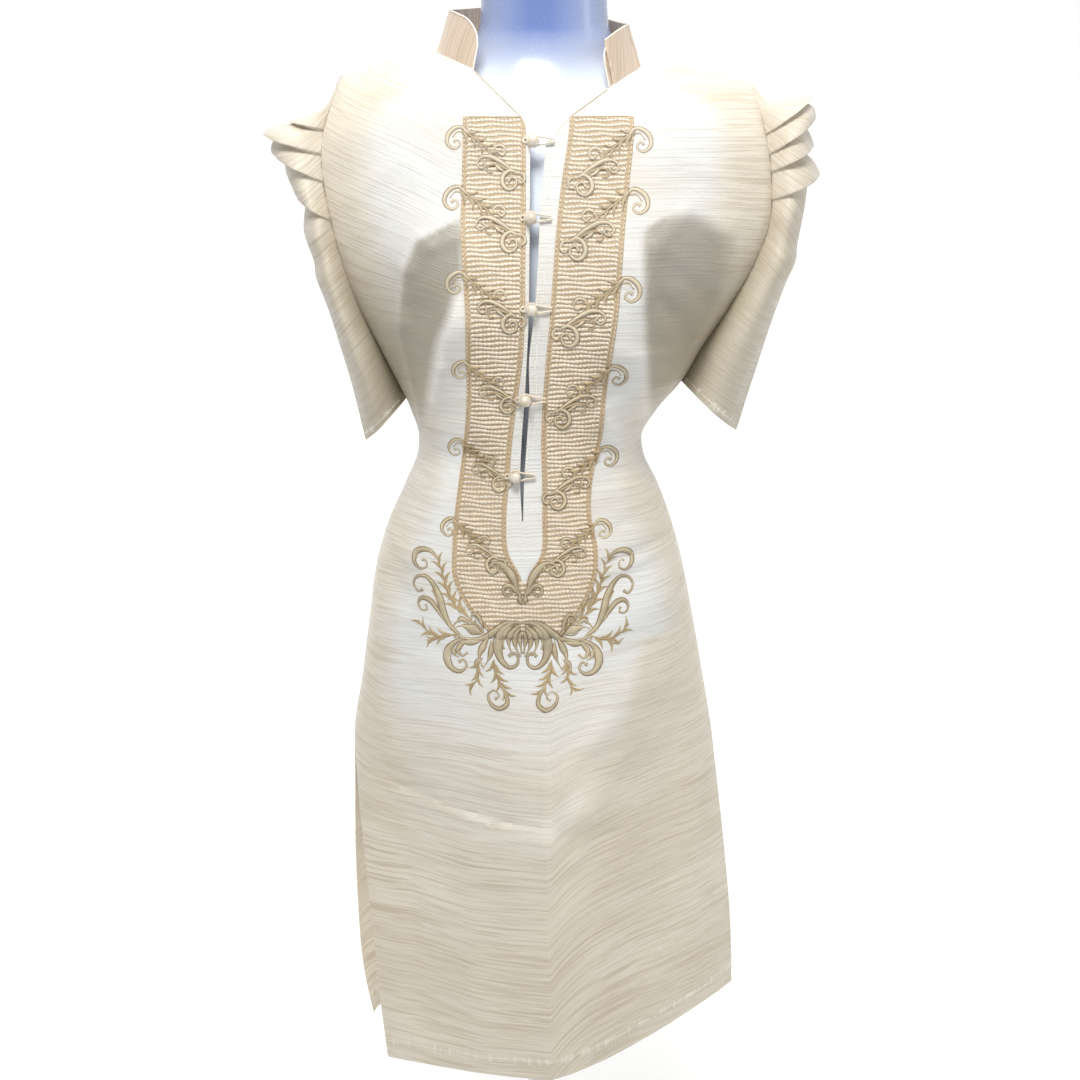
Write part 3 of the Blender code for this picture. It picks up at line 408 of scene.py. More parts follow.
# Main creases of the back.
BACK_CREASES = (
    ("x1", "z1", "x2", "z2", "width", "out"),
    (-0.110, 0.906, 0.080, 0.902, 0.0050, -0.0018),
    (-0.100, 0.892, 0.090, 0.894, 0.0055, 0.0016),
    (-0.096, 0.934, -0.010, 0.916, 0.0050, 0.0014),
    (0.010, 0.872, 0.094, 0.866, 0.0050, -0.0014),
    (-0.130, 1.150, -0.080, 1.030, 0.0090, -0.0016),
    (0.135, 1.150, 0.085, 1.030, 0.0090, -0.0016),
    (-0.030, 1.180, -0.022, 1.040, 0.0110, 0.0012),
    (0.040, 1.190, 0.034, 1.060, 0.0110, -0.0012),
    (-0.150, 0.560, 0.160, 0.552, 0.0035, -0.0012),
    (-0.150, 0.554, 0.160, 0.546, 0.0040, 0.0010),
    (-0.075, 0.600, -0.080, 0.330, 0.0110, -0.0018),
    (0.070, 0.600, 0.078, 0.330, 0.0110, 0.0016),
    (-0.002, 0.590, 0.000, 0.330, 0.0100, 0.0014),
    (0.140, 0.520, 0.152, 0.360, 0.0100, -0.0014),
    (-0.150, 0.780, -0.110, 0.760, 0.0055, 0.0014),
    (0.100, 0.800, 0.136, 0.780, 0.0055, -0.0014),
)

# Rows across a sleeve, from its head to its hem: height on the armhole, and the outer fold.
# A step above zero stands out as the edge of a pleat, and one below zero lies under it.
SLEEVE_LEFT = (
    ("arm_z", "out_x", "out_z", "step"),
    (1.2560, -0.1935, 1.2560, 0.0),
    (1.2400, -0.2082, 1.2250, 0.0),
    (1.2240, -0.2260, 1.2180, 0.001),
    (1.2085, -0.2413, 1.2150, 0.003),
    (1.2050, -0.2430, 1.2120, -0.005),
    (1.1960, -0.2600, 1.2090, 0.0),
    (1.1860, -0.2669, 1.2010, 0.003),
    (1.1820, -0.2625, 1.1975, -0.005),
    (1.1710, -0.2610, 1.1910, 0.0),
    (1.1600, -0.2585, 1.1835, 0.003),
    (1.1560, -0.2540, 1.1795, -0.005),
    (1.1390, -0.2470, 1.1630, 0.0),
    (1.1240, -0.2365, 1.1450, 0.003),
    (1.1200, -0.2325, 1.1405, -0.005),
    (1.1070, -0.2315, 1.1100, 0.0),
    (1.0945, -0.2249, 1.0800, -0.003),
    (1.0790, -0.2190, 1.0610, 0.001),
    (1.0550, -0.2075, 1.0270, 0.0),
    (1.0250, -0.1965, 0.9900, 0.0),
    (0.9950, -0.1870, 0.9570, 0.0),
    (0.9680, -0.1795, 0.9250, 0.0),
    (0.9490, -0.1752, 0.9060, 0.0),
    (0.9440, -0.1740, 0.9010, 0.0),
)
SLEEVE_RIGHT = (
    ("arm_z", "out_x", "out_z", "step"),
    (1.2480, 0.2060, 1.2480, 0.0),
    (1.2330, 0.2255, 1.2300, 0.0),
    (1.2190, 0.2398, 1.2360, 0.001),
    (1.2040, 0.2615, 1.2370, 0.003),
    (1.2000, 0.2600, 1.2330, -0.005),
    (1.1925, 0.2660, 1.2260, 0.0),
    (1.1855, 0.2645, 1.2155, 0.003),
    (1.1815, 0.2605, 1.2115, -0.005),
    (1.1750, 0.2625, 1.2010, 0.0),
    (1.1690, 0.2640, 1.1900, 0.003),
    (1.1650, 0.2600, 1.1860, -0.005),
    (1.1540, 0.2670, 1.1750, 0.0),
    (1.1430, 0.2705, 1.1625, 0.003),
    (1.1390, 0.2660, 1.1580, -0.005),
    (1.1250, 0.2590, 1.1330, 0.0),
    (1.1100, 0.2549, 1.0960, -0.003),
    (1.0930, 0.2500, 1.0780, 0.001),
    (1.0660, 0.2400, 1.0520, 0.0),
    (1.0360, 0.2270, 1.0140, 0.0),
    (1.0080, 0.2160, 0.9780, 0.0),
    (0.9830, 0.2050, 0.9420, 0.0),
    (0.9670, 0.1975, 0.9160, 0.0),
    (0.9630, 0.1956, 0.9110, 0.0),
)
SLEEVE_BELLY_TOP = 0.010
SLEEVE_BELLY_HEM = 0.034
SLEEVE_FLAT_LINES = 26
SLEEVE_ROW_CUTS = 5
SLEEVE_FLAT_REACH = 0.80
SEAM_ROWS = 10
SLEEVE_CREASE_SCALE = 6.0
SLEEVE_APART = 0.004
SLEEVE_OPENS = 10.0
SLEEVE_CLOSED = 0.06
SLEEVE_SWELLS = 12.0
# Painted shade on the sleeves: darker towards the hem, and beside the front armhole seam low down
SLEEVE_SHADE = 1.2
SLEEVE_SHADE_TOP = 0.30
SLEEVE_SHADE_FALL = 0.24
SEAM_SHADE_REACH = 0.018
SEAM_SHADE_UP = (0.22, 0.10)

# Soft creases of the sleeves: rows down and share out from the armhole, width, and how far out.
SLEEVE_CREASES = (
    ("row1", "reach1", "row2", "reach2", "width", "out"),
    (15.0, 0.10, 17.5, 0.90, 0.7, -0.0022),
    (17.5, 0.15, 19.0, 0.60, 0.6, 0.0016),
    (18.5, 0.45, 21.0, 0.75, 0.7, -0.0016),
    (19.5, 0.10, 21.0, 0.40, 0.6, 0.0014),
)

# How far each line of the body lies from the panel's outer border to the edge.
SIDE_SHARES = (0.12, 0.265, 0.42, 0.60, 0.76, 0.89, 1.0)
RIGHT_SIDE_SHARES = (0.09, 0.25, 0.42, 0.60, 0.76, 0.89, 1.0)
# How many columns of cloth each stretch between two lines has, from left to right.
FRONT_CUTS = (4, 4, 5, 5, 5, 5, 3, 5, 5, 5, 3, 1, 4, 5, 5, 5, 3, 5, 5, 5, 5, 4, 4)
GAP_CELL = len(SIDE_SHARES) + 4
PANEL_FIRST = GAP_CELL - 4
PANEL_LAST = GAP_CELL + 5
BACK_SHARES = (
    -1.0, -0.93, -0.84, -0.74, -0.635, -0.540, -0.40, -0.27, -0.13, 0.0,
    0.13, 0.26, 0.38, 0.502, 0.61, 0.73, 0.84, 0.93, 1.0,
)
BACK_CUT = 5
NECK_LINE = 5

# Sections of the dress form, from the neck down.
FORM = (
    ("z", "mid_x", "half_width", "front_y", "back_y"),
    (1.345, 0.004, 0.0600, -0.052, 0.054),
    (1.325, 0.004, 0.0605, -0.052, 0.055),
    (1.303, 0.004, 0.0620, -0.053, 0.056),
    (1.288, 0.004, 0.0670, -0.056, 0.057),
    (1.268, 0.003, 0.0740, -0.061, 0.059),
    (1.254, 0.001, 0.1000, -0.067, 0.062),
    (1.241, 0.001, 0.1360, -0.076, 0.068),
    (1.224, 0.002, 0.1610, -0.088, 0.077),
    (1.200, 0.003, 0.1710, -0.100, 0.085),
    (1.160, 0.003, 0.1690, -0.112, 0.090),
    (1.110, 0.000, 0.1590, -0.124, 0.090),
    (1.050, -0.003, 0.1420, -0.124, 0.086),
    (0.990, -0.006, 0.1220, -0.112, 0.080),
    (0.940, -0.008, 0.1020, -0.098, 0.074),
    (0.900, -0.009, 0.0920, -0.090, 0.070),
    (0.850, -0.009, 0.1030, -0.094, 0.082),
    (0.790, -0.009, 0.1280, -0.103, 0.100),
    (0.720, -0.008, 0.1440, -0.110, 0.108),
    (0.640, -0.006, 0.1480, -0.112, 0.106),
    (0.575, -0.004, 0.1420, -0.106, 0.098),
    (0.560, -0.004, 0.1360, -0.100, 0.092),
)

BUTTONS = (
    ("x", "z"),
    (-0.0060, 1.1990),
    (-0.0085, 1.1297),
    (-0.0080, 1.0464),
    (-0.0135, 0.9598),
    (-0.0235, 0.8851),
)

# Where each spray crosses the outer border of its panel, and how wide the panel is there.
SPRAYS = (
    ("side", "x", "z", "width"),
    (-1, -0.0708, 1.2020, 0.0570),
    (-1, -0.0725, 1.1480, 0.0590),
    (-1, -0.0706, 1.0719, 0.0565),
    (-1, -0.0681, 0.9892, 0.0500),
    (-1, -0.0745, 0.9100, 0.0480),
    (-1, -0.0815, 0.8336, 0.0490),
    (1, 0.0865, 1.2000, 0.0610),
    (1, 0.0827, 1.1450, 0.0640),
    (1, 0.0753, 1.0654, 0.0640),
    (1, 0.0656, 0.9826, 0.0600),
    (1, 0.0594, 0.9004, 0.0570),
    (1, 0.0547, 0.8317, 0.0510),
)
SPRAY_WIDTH = 0.0640

# Strokes of one spray in millimetres: inward from the border and up, with leaves along some.
SPRAY = (
    ("ends", "belly", "leaf", "pairs", "points"),
    (1.8, 4.6, 0.0, 0, (
        (6, 3), (-2, 10), (-10, 8), (-16, 1), (-16, -7), (-9, -12), (-3, -8), (-6, -3), (-10, -5),
    )),
    (1.0, 1.8, 0.0, 0, ((2, 4), (-6, 5), (-11, -1))),
    (1.4, 2.0, 8.5, 4, ((-2, 8), (8, 1), (17, -6), (25, -12), (32, -17))),
    (1.4, 3.2, 0.0, 0, ((30, -17), (34, -10), (40, -9), (44, -14), (41, -19), (37, -16))),
    (1.6, 4.4, 0.0, 0, (
        (54, -37), (46, -30), (37, -24), (28, -20), (19, -21), (15, -27), (19, -32), (24, -29),
        (22, -26),
    )),
    (1.2, 2.4, 0.0, 0, ((50, -36), (42, -31), (33, -28), (26, -30), (26, -36), (31, -36))),
    (1.8, 4.6, 0.0, 0, (
        (57, -37), (49, -34), (42, -39), (41, -47), (47, -53), (54, -50), (55, -43), (50, -41),
        (47, -45),
    )),
    (1.4, 2.6, 0.0, 0, ((55, -37), (61, -37), (64, -43), (60, -47), (57, -43))),
    (0.8, 3.8, 0.0, 0, ((33, -28), (39, -33), (44, -36))),
)

# Strokes of the right half of the large ornament: outward and up from its centre.
ORNAMENT = (
    ("ends", "belly", "leaf", "pairs", "points"),
    (1.6, 6.0, 0.0, 0, (
        (2, 44), (6, 52), (9, 61), (15, 70), (22, 76), (30, 76), (34, 70), (30, 65), (26, 68),
    )),
    (1.2, 1.8, 0.0, 0, ((4, 50), (10, 60), (17, 68), (24, 72))),
    (1.6, 3.4, 0.0, 0, ((1, 43), (6, 48), (12, 54), (18, 53), (19, 47), (14, 44), (11, 48))),
    (1.6, 3.8, 0.0, 0, ((0, 36), (3, 41), (2, 47))),
    (2.0, 7.0, 0.0, 0, (
        (1, 17), (9, 17), (18, 11), (24, 1), (25, -11), (21, -22), (13, -28), (6, -25), (5, -17),
        (10, -13), (14, -17),
    )),
    (1.2, 4.6, 0.0, 0, ((2, 15), (9, 9), (14, 1), (13, -9), (9, -16))),
    (1.2, 4.4, 0.0, 0, ((2, 12), (7, 5), (8, -3), (5, -12), (2, -17))),
    (1.2, 3.4, 0.0, 0, ((1, 9), (3, 2), (2, -7), (1, -14))),
    (1.2, 4.0, 0.0, 0, ((10, 14), (17, 7), (20, -1), (19, -10))),
    (2.0, 5.0, 0.0, 0, ((8, 18), (18, 16), (28, 8), (38, 1), (50, -2), (62, -1), (70, 2))),
    (1.0, 8.0, 0.0, 0, ((40, 4), (50, 8), (60, 11), (68, 9))),
    (1.4, 1.8, 0.0, 0, ((38, 4), (47, 13), (58, 17), (67, 14), (71, 8))),
    (1.4, 3.4, 0.0, 0, ((67, 13), (62, 18), (56, 14), (60, 9))),
    (1.2, 4.5, 0.0, 0, ((42, -3), (52, -5), (62, -5), (70, -1))),
    (1.8, 5.5, 0.0, 0, (
        (62, 0), (74, 10), (81, 24), (85, 38), (91, 50), (99, 57), (108, 55), (112, 47), (107, 40),
        (102, 43),
    )),
    (1.2, 1.6, 0.0, 0, ((72, 4), (80, 18), (86, 32), (92, 44))),
    (1.4, 3.6, 0.0, 0, (
        (80, 14), (88, 26), (95, 33), (103, 34), (107, 28), (104, 22), (98, 23), (99, 28),
    )),
    (1.4, 2.0, 9.0, 6, ((62, 22), (70, 34), (76, 46), (80, 58), (84, 70), (88, 80))),
    (1.4, 4.0, 0.0, 0, (
        (86, 76), (92, 82), (101, 84), (109, 80), (111, 71), (105, 64), (98, 67), (99, 73),
        (103, 73),
    )),
    (1.4, 2.0, 9.0, 3, ((70, 1), (80, -2), (90, -2), (99, 2), (107, 10))),
    (1.2, 1.6, 8.0, 1, ((84, -2), (92, -8), (98, -9))),
    (1.8, 6.0, 0.0, 0, (
        (60, -2), (68, -6), (75, -14), (77, -25), (72, -34), (63, -36), (57, -30), (60, -24),
        (65, -27),
    )),
    (1.4, 3.6, 0.0, 0, ((56, -4), (62, -8), (66, -15), (61, -20), (56, -16))),
    (1.0, 3.6, 0.0, 0, ((71, -12), (69, -20), (65, -22))),
    (1.2, 5.0, 0.0, 0, ((34, 2), (40, -8), (44, -19), (41, -29))),
    (1.0, 3.8, 0.0, 0, ((32, -1), (32, -12), (35, -22), (40, -30))),
    (1.4, 3.0, 0.0, 0, ((40, -20), (46, -24), (48, -30), (44, -33))),
    (1.3, 1.8, 8.0, 3, ((44, -22), (46, -32), (46, -41), (50, -48), (54, -52))),
    (1.4, 2.0, 9.0, 4, ((29, -20), (28, -30), (24, -41), (19, -50), (15, -56))),
    (1.4, 3.2, 0.0, 0, (
        (24, -44), (17, -55), (16, -65), (24, -70), (32, -66), (35, -57), (29, -52), (24, -57),
        (28, -61),
    )),
    (1.2, 2.8, 0.0, 0, ((40, 6), (41, 16), (46, 24), (52, 22), (51, 16), (47, 17))),
    (1.2, 1.6, 7.0, 2, ((52, 18), (60, 24), (64, 34), (72, 40))),
)
ORNAMENT_X = -0.0165
ORNAMENT_Z = 0.7293
ORNAMENT_STEP = 0.00095

# Painted shade where the front hangs free of the form on both sides of the panel, and how dark it
# looks.
HOLLOW_SHADES = (
    ("z", "left_out", "left_in", "right_in", "right_out", "dark"),
    (1.1340, -0.0700, -0.0800, 0.1280, 0.1300, 0.00),
    (1.1290, -0.0740, -0.0700, 0.1120, 0.1500, 0.75),
    (1.1190, -0.0930, -0.0700, 0.0970, 0.1620, 0.90),
    (1.1080, -0.1140, -0.0700, 0.0950, 0.1780, 1.00),
    (1.0800, -0.1270, -0.0720, 0.0960, 0.1860, 0.95),
    (1.0420, -0.1330, -0.0840, 0.0970, 0.1750, 0.90),
    (1.0150, -0.1360, -0.0970, 0.0990, 0.1640, 0.85),
    (0.9670, -0.1260, -0.1060, 0.1040, 0.1400, 0.70),
    (0.9290, -0.1180, -0.1120, 0.1100, 0.1240, 0.45),
    (0.9000, -0.1160, -0.1180, 0.1100, 0.1100, 0.00),
)

# Where the skirt's diagonal fold runs: the cloth right of it hangs clear of the form
DRAPE = (
    ("z", "x"),
    (0.380, 0.010),
    (0.500, 0.014),
    (0.560, 0.044),
    (0.620, 0.075),
    (0.700, 0.098),
    (0.780, 0.120),
)

# How wide the soft edges of that painted shade are, and the fainter painted shade beside the waist
SHADE_EDGE_CRISP = 0.008
SHADE_EDGE_SOFT = 0.010
SHADE_EDGE_BLURRED = 0.030
SIDE_SHADE = 0.72
SIDE_SHADE_X = (0.105, 0.135)
SIDE_SHADE_TOP = (1.14, 1.02)
SIDE_SHADE_LOW = (0.90, 0.95)

# How the form shows through: how far in from its edge, and where the cloth hangs clear of it
SHOW_PAST = 0.012
SHOW_THROUGH = 0.030
SHOW_LOW = (0.02, 0.11)
DRAWN_SHARE = 0.40
DRAWN_X = (-0.15, -0.12)
DRAWN_Z = (0.42, 0.58)
DRAPE_EDGE = 0.02
CLEAR_BELOW_Z = 0.72
CLEAR_LEAST = 0.25
BACK_SHOWS = 0.8

# Hemstitched rows of the panel
BRAID_ROW = 0.0043
BRAID_LEAN = 0.42
BRAID_DIP = 0.0006
BRAID_DIPS = 210
ROW_LIFT = 0.0003
PANEL_INSET = 0.0064

# Stitches: sizes in metres, how uneven they are, and the seed of their sizes
STITCHES = (
    ("name", "Pitch", "Length", "Width", "Height", "Uneven", "Seed"),
    ("panel_braid", 0.0035, 0.0046, 0.0034, 0.0022, 0.10, 3),
    ("panel_borders", 0.0044, 0.0046, 0.0016, 0.0022, 0.08, 5),
    ("dress_stitching", 0.0031, 0.0027, 0.0011, 0.0009, 0.15, 9),
)

# Stitched lines beside the opening
SEAM_LINES = (
    ("line", "inset", "low"),
    (GAP_CELL, -0.0012, SLIT_END_Z),
    (GAP_CELL + 1, 0.0012, SLIT_END_Z),
    (GAP_CELL + 1, 0.0062, SLIT_END_Z + 0.06),
)

# Borders down the panel: which line each follows, where it ends, and how far in it lies
BORDERS = (
    ("line", "low", "inset"),
    (PANEL_FIRST, YOKE_END_Z, 0.0030),
    (GAP_CELL - 1, STRIP_END_Z, -0.0030),
    (GAP_CELL + 2, STRIP_END_Z, 0.0030),
    (PANEL_LAST, YOKE_END_Z, -0.0030),
)
BORDER_SPREAD = 0.0016
BORDER_LEAN = 0.75
BORDER_LIFT = 0.0004
CROSS_SPREAD = 0.0009

# Embroidery strokes and leaves
STROKE_STEP = 0.0011
BELLY_PLACE = 0.38
BELLY_SPREAD = 0.24
LEAF_STEP = 0.0009
LEAF_EDGE = 0.0008
OUTLINE_MOST = 0.0012
SPRAY_FULLNESS = 0.98
ORNAMENT_FULLNESS = 1.40
LEAF_FULLNESS = 1.45
LEAF_WIDTH = 0.27

# How far the weft threads rise beside the skirt's centre crease
CREASE_X = 0.0112
PULL_HEIGHT = 0.045
PULL_WIDTH = 0.035
PULL_SLOPE = 0.01
PULL_FADE = (0.46, 0.22)
ARM_PULL = 0.40
ARM_PULL_X = -0.08
ARM_PULL_Z = (1.00, 1.10)

# Where the bound edge of the neckline runs on both sides of the opening
NECK_EDGES = ((-0.060, -0.0165), (0.0135, 0.062))

# How far embroidery on the panel stands above embroidery on the plain front
PANEL_LIFT = 0.0024
PANEL_EDGE = 0.002
FILLED_BELLY = 2.5
OUTLINED_BELLY = 0.0017
BOTH_SIDES_BELLY = 0.0034

# Coloured threads of the weave: how close they lie, and which of them show
THREADS = (
    ("name", "across", "up", "detail", "shift", "low", "high"),
    ("fine", 16.0, 560.0, 2.0, 1.3, 0.48, 0.60),
    ("slub", 10.0, 380.0, 1.0, 7.7, 0.54, 0.63),
    ("lines", 7.0, 250.0, 1.0, 2.9, 0.60, 0.66),
    ("blotch", 4.0, 13.0, 2.0, 5.1, 0.38, 0.66),
)

# Colours
IVORY = (0.82, 0.765, 0.655)
STREAK = (0.46, 0.34, 0.20)
COOL_WHITE = (0.84, 0.86, 0.86)
# Colours of the painted shade where the cloth hangs free, grey high up and khaki lower down
HOLLOW_SHADE_GREY = (0.38, 0.36, 0.31)
HOLLOW_SHADE_KHAKI = (0.30, 0.26, 0.17)
PANEL_CREAM = (0.56, 0.44, 0.30)
BRAID_CREAM = (0.84, 0.75, 0.62)
BORDER_TAN = (0.66, 0.52, 0.33)
CORD_KHAKI = (0.66, 0.57, 0.39)
STEM_TAN = (0.48, 0.37, 0.21)
# Thread of the outlines, partly standing for painted shade under the raised strokes
OUTLINE_AND_SHADE_BROWN = (0.30, 0.21, 0.11)
COLLAR_TAN = (0.78, 0.64, 0.52)
NECK_TAN = (0.56, 0.40, 0.24)
# White of the hem thread, also used for painted glints and for painted light on the threads
THREAD_AND_HIGHLIGHT_WHITE = (0.94, 0.90, 0.80)
PEARL = (0.80, 0.69, 0.50)
# The dress form as strongly lit, and the blue at the top of its neck
FORM_LIT_WHITE = (0.80, 0.87, 0.97)
FORM_BLUE = (0.17, 0.25, 0.56)
STEEL = (0.62, 0.62, 0.64)


def column(table, name):
    """The values of one named column of a table."""
    index = table[0].index(name)
    return np.array([row[index] for row in table[1:]])


def smooth(table, name, at, key="z"):
    """A column's value at the given keys, on a curve that is smooth through the rows."""
    keys = column(table, key)
    values = column(table, name)
    return hermite(keys, values, np.gradient(values, keys), at)


def hermite(keys, values, slopes, at):
    """Values between keys, on cubic pieces with the given slopes."""
    at = np.clip(at, keys[0], keys[-1])
    low = np.clip(np.searchsorted(keys, at, side="right") - 1, 0, len(keys) - 2)
    step = keys[low + 1] - keys[low]
    t = (at - keys[low]) / step
    rise = 3 * t**2 - 2 * t**3
    start = (t**3 - 2 * t**2 + t) * step * slopes[low]
    end = (t**3 - t**2) * step * slopes[low + 1]
    return values[low] * (1 - rise) + values[low + 1] * rise + start + end


def eased(keys, values, at):
    """Values between keys on a smooth curve that never passes beyond its neighbours."""
    rates = np.diff(values) / np.diff(keys)
    slopes = np.zeros(len(values))
    same = rates[:-1] * rates[1:] > 0
    middle = 2 * rates[:-1] * rates[1:] / np.where(same, rates[:-1] + rates[1:], 1.0)
    slopes[1:-1] = np.where(same, middle, 0.0)
    slopes[0] = rates[0]
    slopes[-1] = rates[-1]
    return hermite(keys, values, slopes, at)


def straight(table, name, at, key="x"):
    """A column's value at the given keys, on straight lines between the rows."""
    return np.interp(at, column(table, key), column(table, name))


def ramp(value, start, end):
    """A share that runs from 0 where the value is the start to 1 where it is the end."""
    return np.clip((value - start) / (end - start), 0.0, 1.0)


def soft_edge(inside, width):
    """A share that runs from 0 outside to 1 inside, across a soft edge of the given width."""
    return np.clip(inside / width + 0.5, 0.0, 1.0)


def quarter_round(share):
    """Rises steeply and then levels out, like a quarter of a circle."""
    return np.sqrt(1.0 - (1.0 - share) ** 2)


def bulge(share, power, roundness):
    """How far out a section is, from 1 at its middle to 0 at its edge."""
    share = np.clip(share, 0.0, 1.0)
    return np.maximum(1.0 - share**power, 0.0) ** (1.0 / roundness)


def roll_over(x, z, name):
    """The share of the depth left at a point near the top of the shoulder."""
    return quarter_round(ramp(straight(ROLL, name, x) - z, 0.0, SHOULDER_ROLL))


def folds(table, x, z):
    """How far the folds of a table move a point out."""
    out = np.zeros(np.broadcast(x, z).shape)
    for x1, z1, x2, z2, width, depth in table[1:]:
        along_x = x2 - x1
        along_z = z2 - z1
        length2 = along_x**2 + along_z**2
        t = ((x - x1) * along_x + (z - z1) * along_z) / length2
        near = np.clip(t, 0.0, 1.0)
        away2 = (x - x1 - near * along_x) ** 2 + (z - z1 - near * along_z) ** 2
        out = out + depth * np.exp(-away2 / width**2)
    return out


def creased(large, fine, x, z, share):
    """How far the folds and creases of two tables move a point out, none at the edge."""
    moved = folds(large, x, z) + CREASE_DEPTH * folds(fine, x, z)
    return moved * ramp(1.0 - share, 0.0, EDGE_FADE)


def front_y(x, z):
    """Depth of the front's outer side at a point of its outline."""
    mid_x = smooth(BODY, "mid_x", z)
    is_left = x < mid_x
    edge_x = np.where(is_left, smooth(BODY, "left_x", z), smooth(BODY, "right_x", z))
    share = np.clip((x - mid_x) / (edge_x - mid_x), 0.0, 1.0)
    edge_y, power, roundness = (
        np.where(is_left, smooth(FRONT, "left_" + name, z), smooth(FRONT, "right_" + name, z))
        for name in ("y", "power", "round")
    )
    edge_y = np.minimum(edge_y, 0.0)
    mid_y = smooth(FRONT, "mid_y", z)
    depth = edge_y + (mid_y - edge_y) * bulge(share, power, roundness)
    return (depth - creased(FOLDS, CREASES, x, z, share)) * roll_over(x, z, "front_z")


def back_left_x(z):
    """The back's left edge: on the side seam above the slit, and free of the front below it."""
    return np.where(z > SIDE_SLIT_Z, smooth(BODY, "left_x", z), smooth(BACK, "left_x", z))


def back_y(x, z):
    """Depth of the back's outer side at a point of its outline."""
    mid_x = smooth(BODY, "mid_x", z)
    edge_x = np.where(x < mid_x, back_left_x(z), smooth(BODY, "right_x", z))
    share = np.clip((x - mid_x) / (edge_x - mid_x), 0.0, 1.0)
    edge_y = np.maximum(smooth(BACK, "edge_y", z), 0.0)
    mid_y = smooth(BACK, "mid_y", z)
    bow = bulge(share, smooth(BACK, "power", z), smooth(BACK, "round", z))
    depth = edge_y + (mid_y - edge_y) * bow
    return (depth + creased(BACK_FOLDS, BACK_CREASES, x, z, share)) * roll_over(x, z, "back_z")


def front_out(x, z):
    """The direction straight out of the front at a point of its outline."""
    step = 0.0008
    slope_x = (front_y(x + step, z) - front_y(x - step, z)) / (2 * step)
    slope_z = (front_y(x, z + step) - front_y(x, z - step)) / (2 * step)
    out = np.stack([slope_x, -np.ones_like(slope_x), slope_z], axis=-1)
    return out / np.linalg.norm(out, axis=-1, keepdims=True)


def fit_height(level_z, bottom_z, top_z):
    """A row's height on a line whose own ends differ from the rows' first and last."""
    low = LEVEL_BOTTOM_Z - (LEVEL_BOTTOM_Z - level_z) * (LEVEL_BOTTOM_Z - bottom_z) / (
        LEVEL_BOTTOM_Z - HEM_Z
    )
    high = LEVEL_TOP_Z + (level_z - LEVEL_TOP_Z) * (top_z - LEVEL_TOP_Z) / (NECK_Z - LEVEL_TOP_Z)
    fitted = np.where(level_z < LEVEL_BOTTOM_Z, low, level_z)
    return np.where(level_z > LEVEL_TOP_Z, high, fitted)


def front_lines_x(z):
    """The x of each line down the front at the given heights, from left to right."""
    left_edge = smooth(BODY, "left_x", z)
    right_edge = smooth(BODY, "right_x", z)
    mark = {name: smooth(LINES, name, z) for name in LINES[0][1:]}
    left_side = [
        mark["left_outer"] + share * (left_edge - mark["left_outer"]) for share in SIDE_SHARES
    ]
    right_side = [
        mark["right_outer"] + share * (right_edge - mark["right_outer"])
        for share in RIGHT_SIDE_SHARES
    ]
    thirds = (0.0, 1 / 3, 2 / 3, 1.0)
    left_panel = [mark["left_outer"] * (1 - t) + mark["left_inner"] * t for t in thirds]
    right_panel = [mark["right_inner"] * (1 - t) + mark["right_outer"] * t for t in thirds]
    gap = [mark["left_gap"], mark["right_gap"]]
    return np.stack(left_side[::-1] + left_panel + gap + right_panel + right_side)


def front_line_x(place, z):
    """The x at a place between the numbered lines down the front."""
    z = np.asarray(z, float)
    place = np.broadcast_to(place, z.shape)
    lines = front_lines_x(z)
    low = np.clip(np.floor(place).astype(int), 0, len(lines) - 2)
    start = np.take_along_axis(lines, low[None], axis=0)[0]
    end = np.take_along_axis(lines, low[None] + 1, axis=0)[0]
    return start + (end - start) * (place - low)


def back_line_x(share, z):
    """The x of a line down the back, whose share runs from -1 at the left edge to 1."""
    mid_x = smooth(BODY, "mid_x", z)
    edge_x = np.where(share < 0, back_left_x(z), smooth(BODY, "right_x", z))
    return mid_x + np.abs(share) * (edge_x - mid_x)


def levels(stops, step):
    """Heights from the first stop to the last, with every stop among them."""
    found = [stops[0]]
    for low, high in zip(stops[:-1], stops[1:]):
        count = max(1, math.ceil((high - low) / step))
        found += list(np.linspace(low, high, count + 1)[1:])
    return np.array(found)


def places(first, cuts):
    """Places across the numbered lines, with each stretch cut into columns."""
    found = [float(first)]
    for cell, count in enumerate(cuts):
        found += [first + cell + (k + 1) / count for k in range(count)]
    return np.array(found)


def top_edge(table, name, line_x, place):
    """Where each line meets a top edge whose height depends on x."""
    top_z = np.full(np.shape(place), NECK_Z)
    for _ in range(EDGE_ROUNDS):
        top_z = straight(table, name, line_x(place, top_z))
    return top_z


def side_points(line_x, depth, place, level_z, top_z, hem, gap):
    """Points of one side of the dress, by row and place."""
    hem_z = straight(HEM, hem, line_x(place, np.full(place.shape, HEM_Z)))
    z = fit_height(level_z[:, None], hem_z[None], top_z[None])
    x = line_x(place[None], z)
    return np.stack([x, depth(x, z) + gap, z], axis=-1)


def middles(values):
    """The middles between neighbouring values."""
    return (values[:-1] + values[1:]) / 2


def front_points(place, level_z, top_limit=10.0):
    """Points of the front's outer side, by row and place."""
    top_z = np.minimum(top_edge(FRONT_TOP, "z", front_line_x, place), top_limit)
    return side_points(front_line_x, front_y, place, level_z, top_z, "front_z", -SEAM_GAP / 2)


def front_grid():
    """The whole front, row by row."""
    stops = (HEM_Z, YOKE_END_Z, STRIP_END_Z, SLIT_END_Z, NECK_Z)
    level_z = levels(stops, ROW_STEP)
    return front_points(places(0, FRONT_CUTS), level_z), level_z


def back_places():
    """Places across the back, with each stretch between two shares cut into columns."""
    return places(0, [BACK_CUT] * (len(BACK_SHARES) - 1))


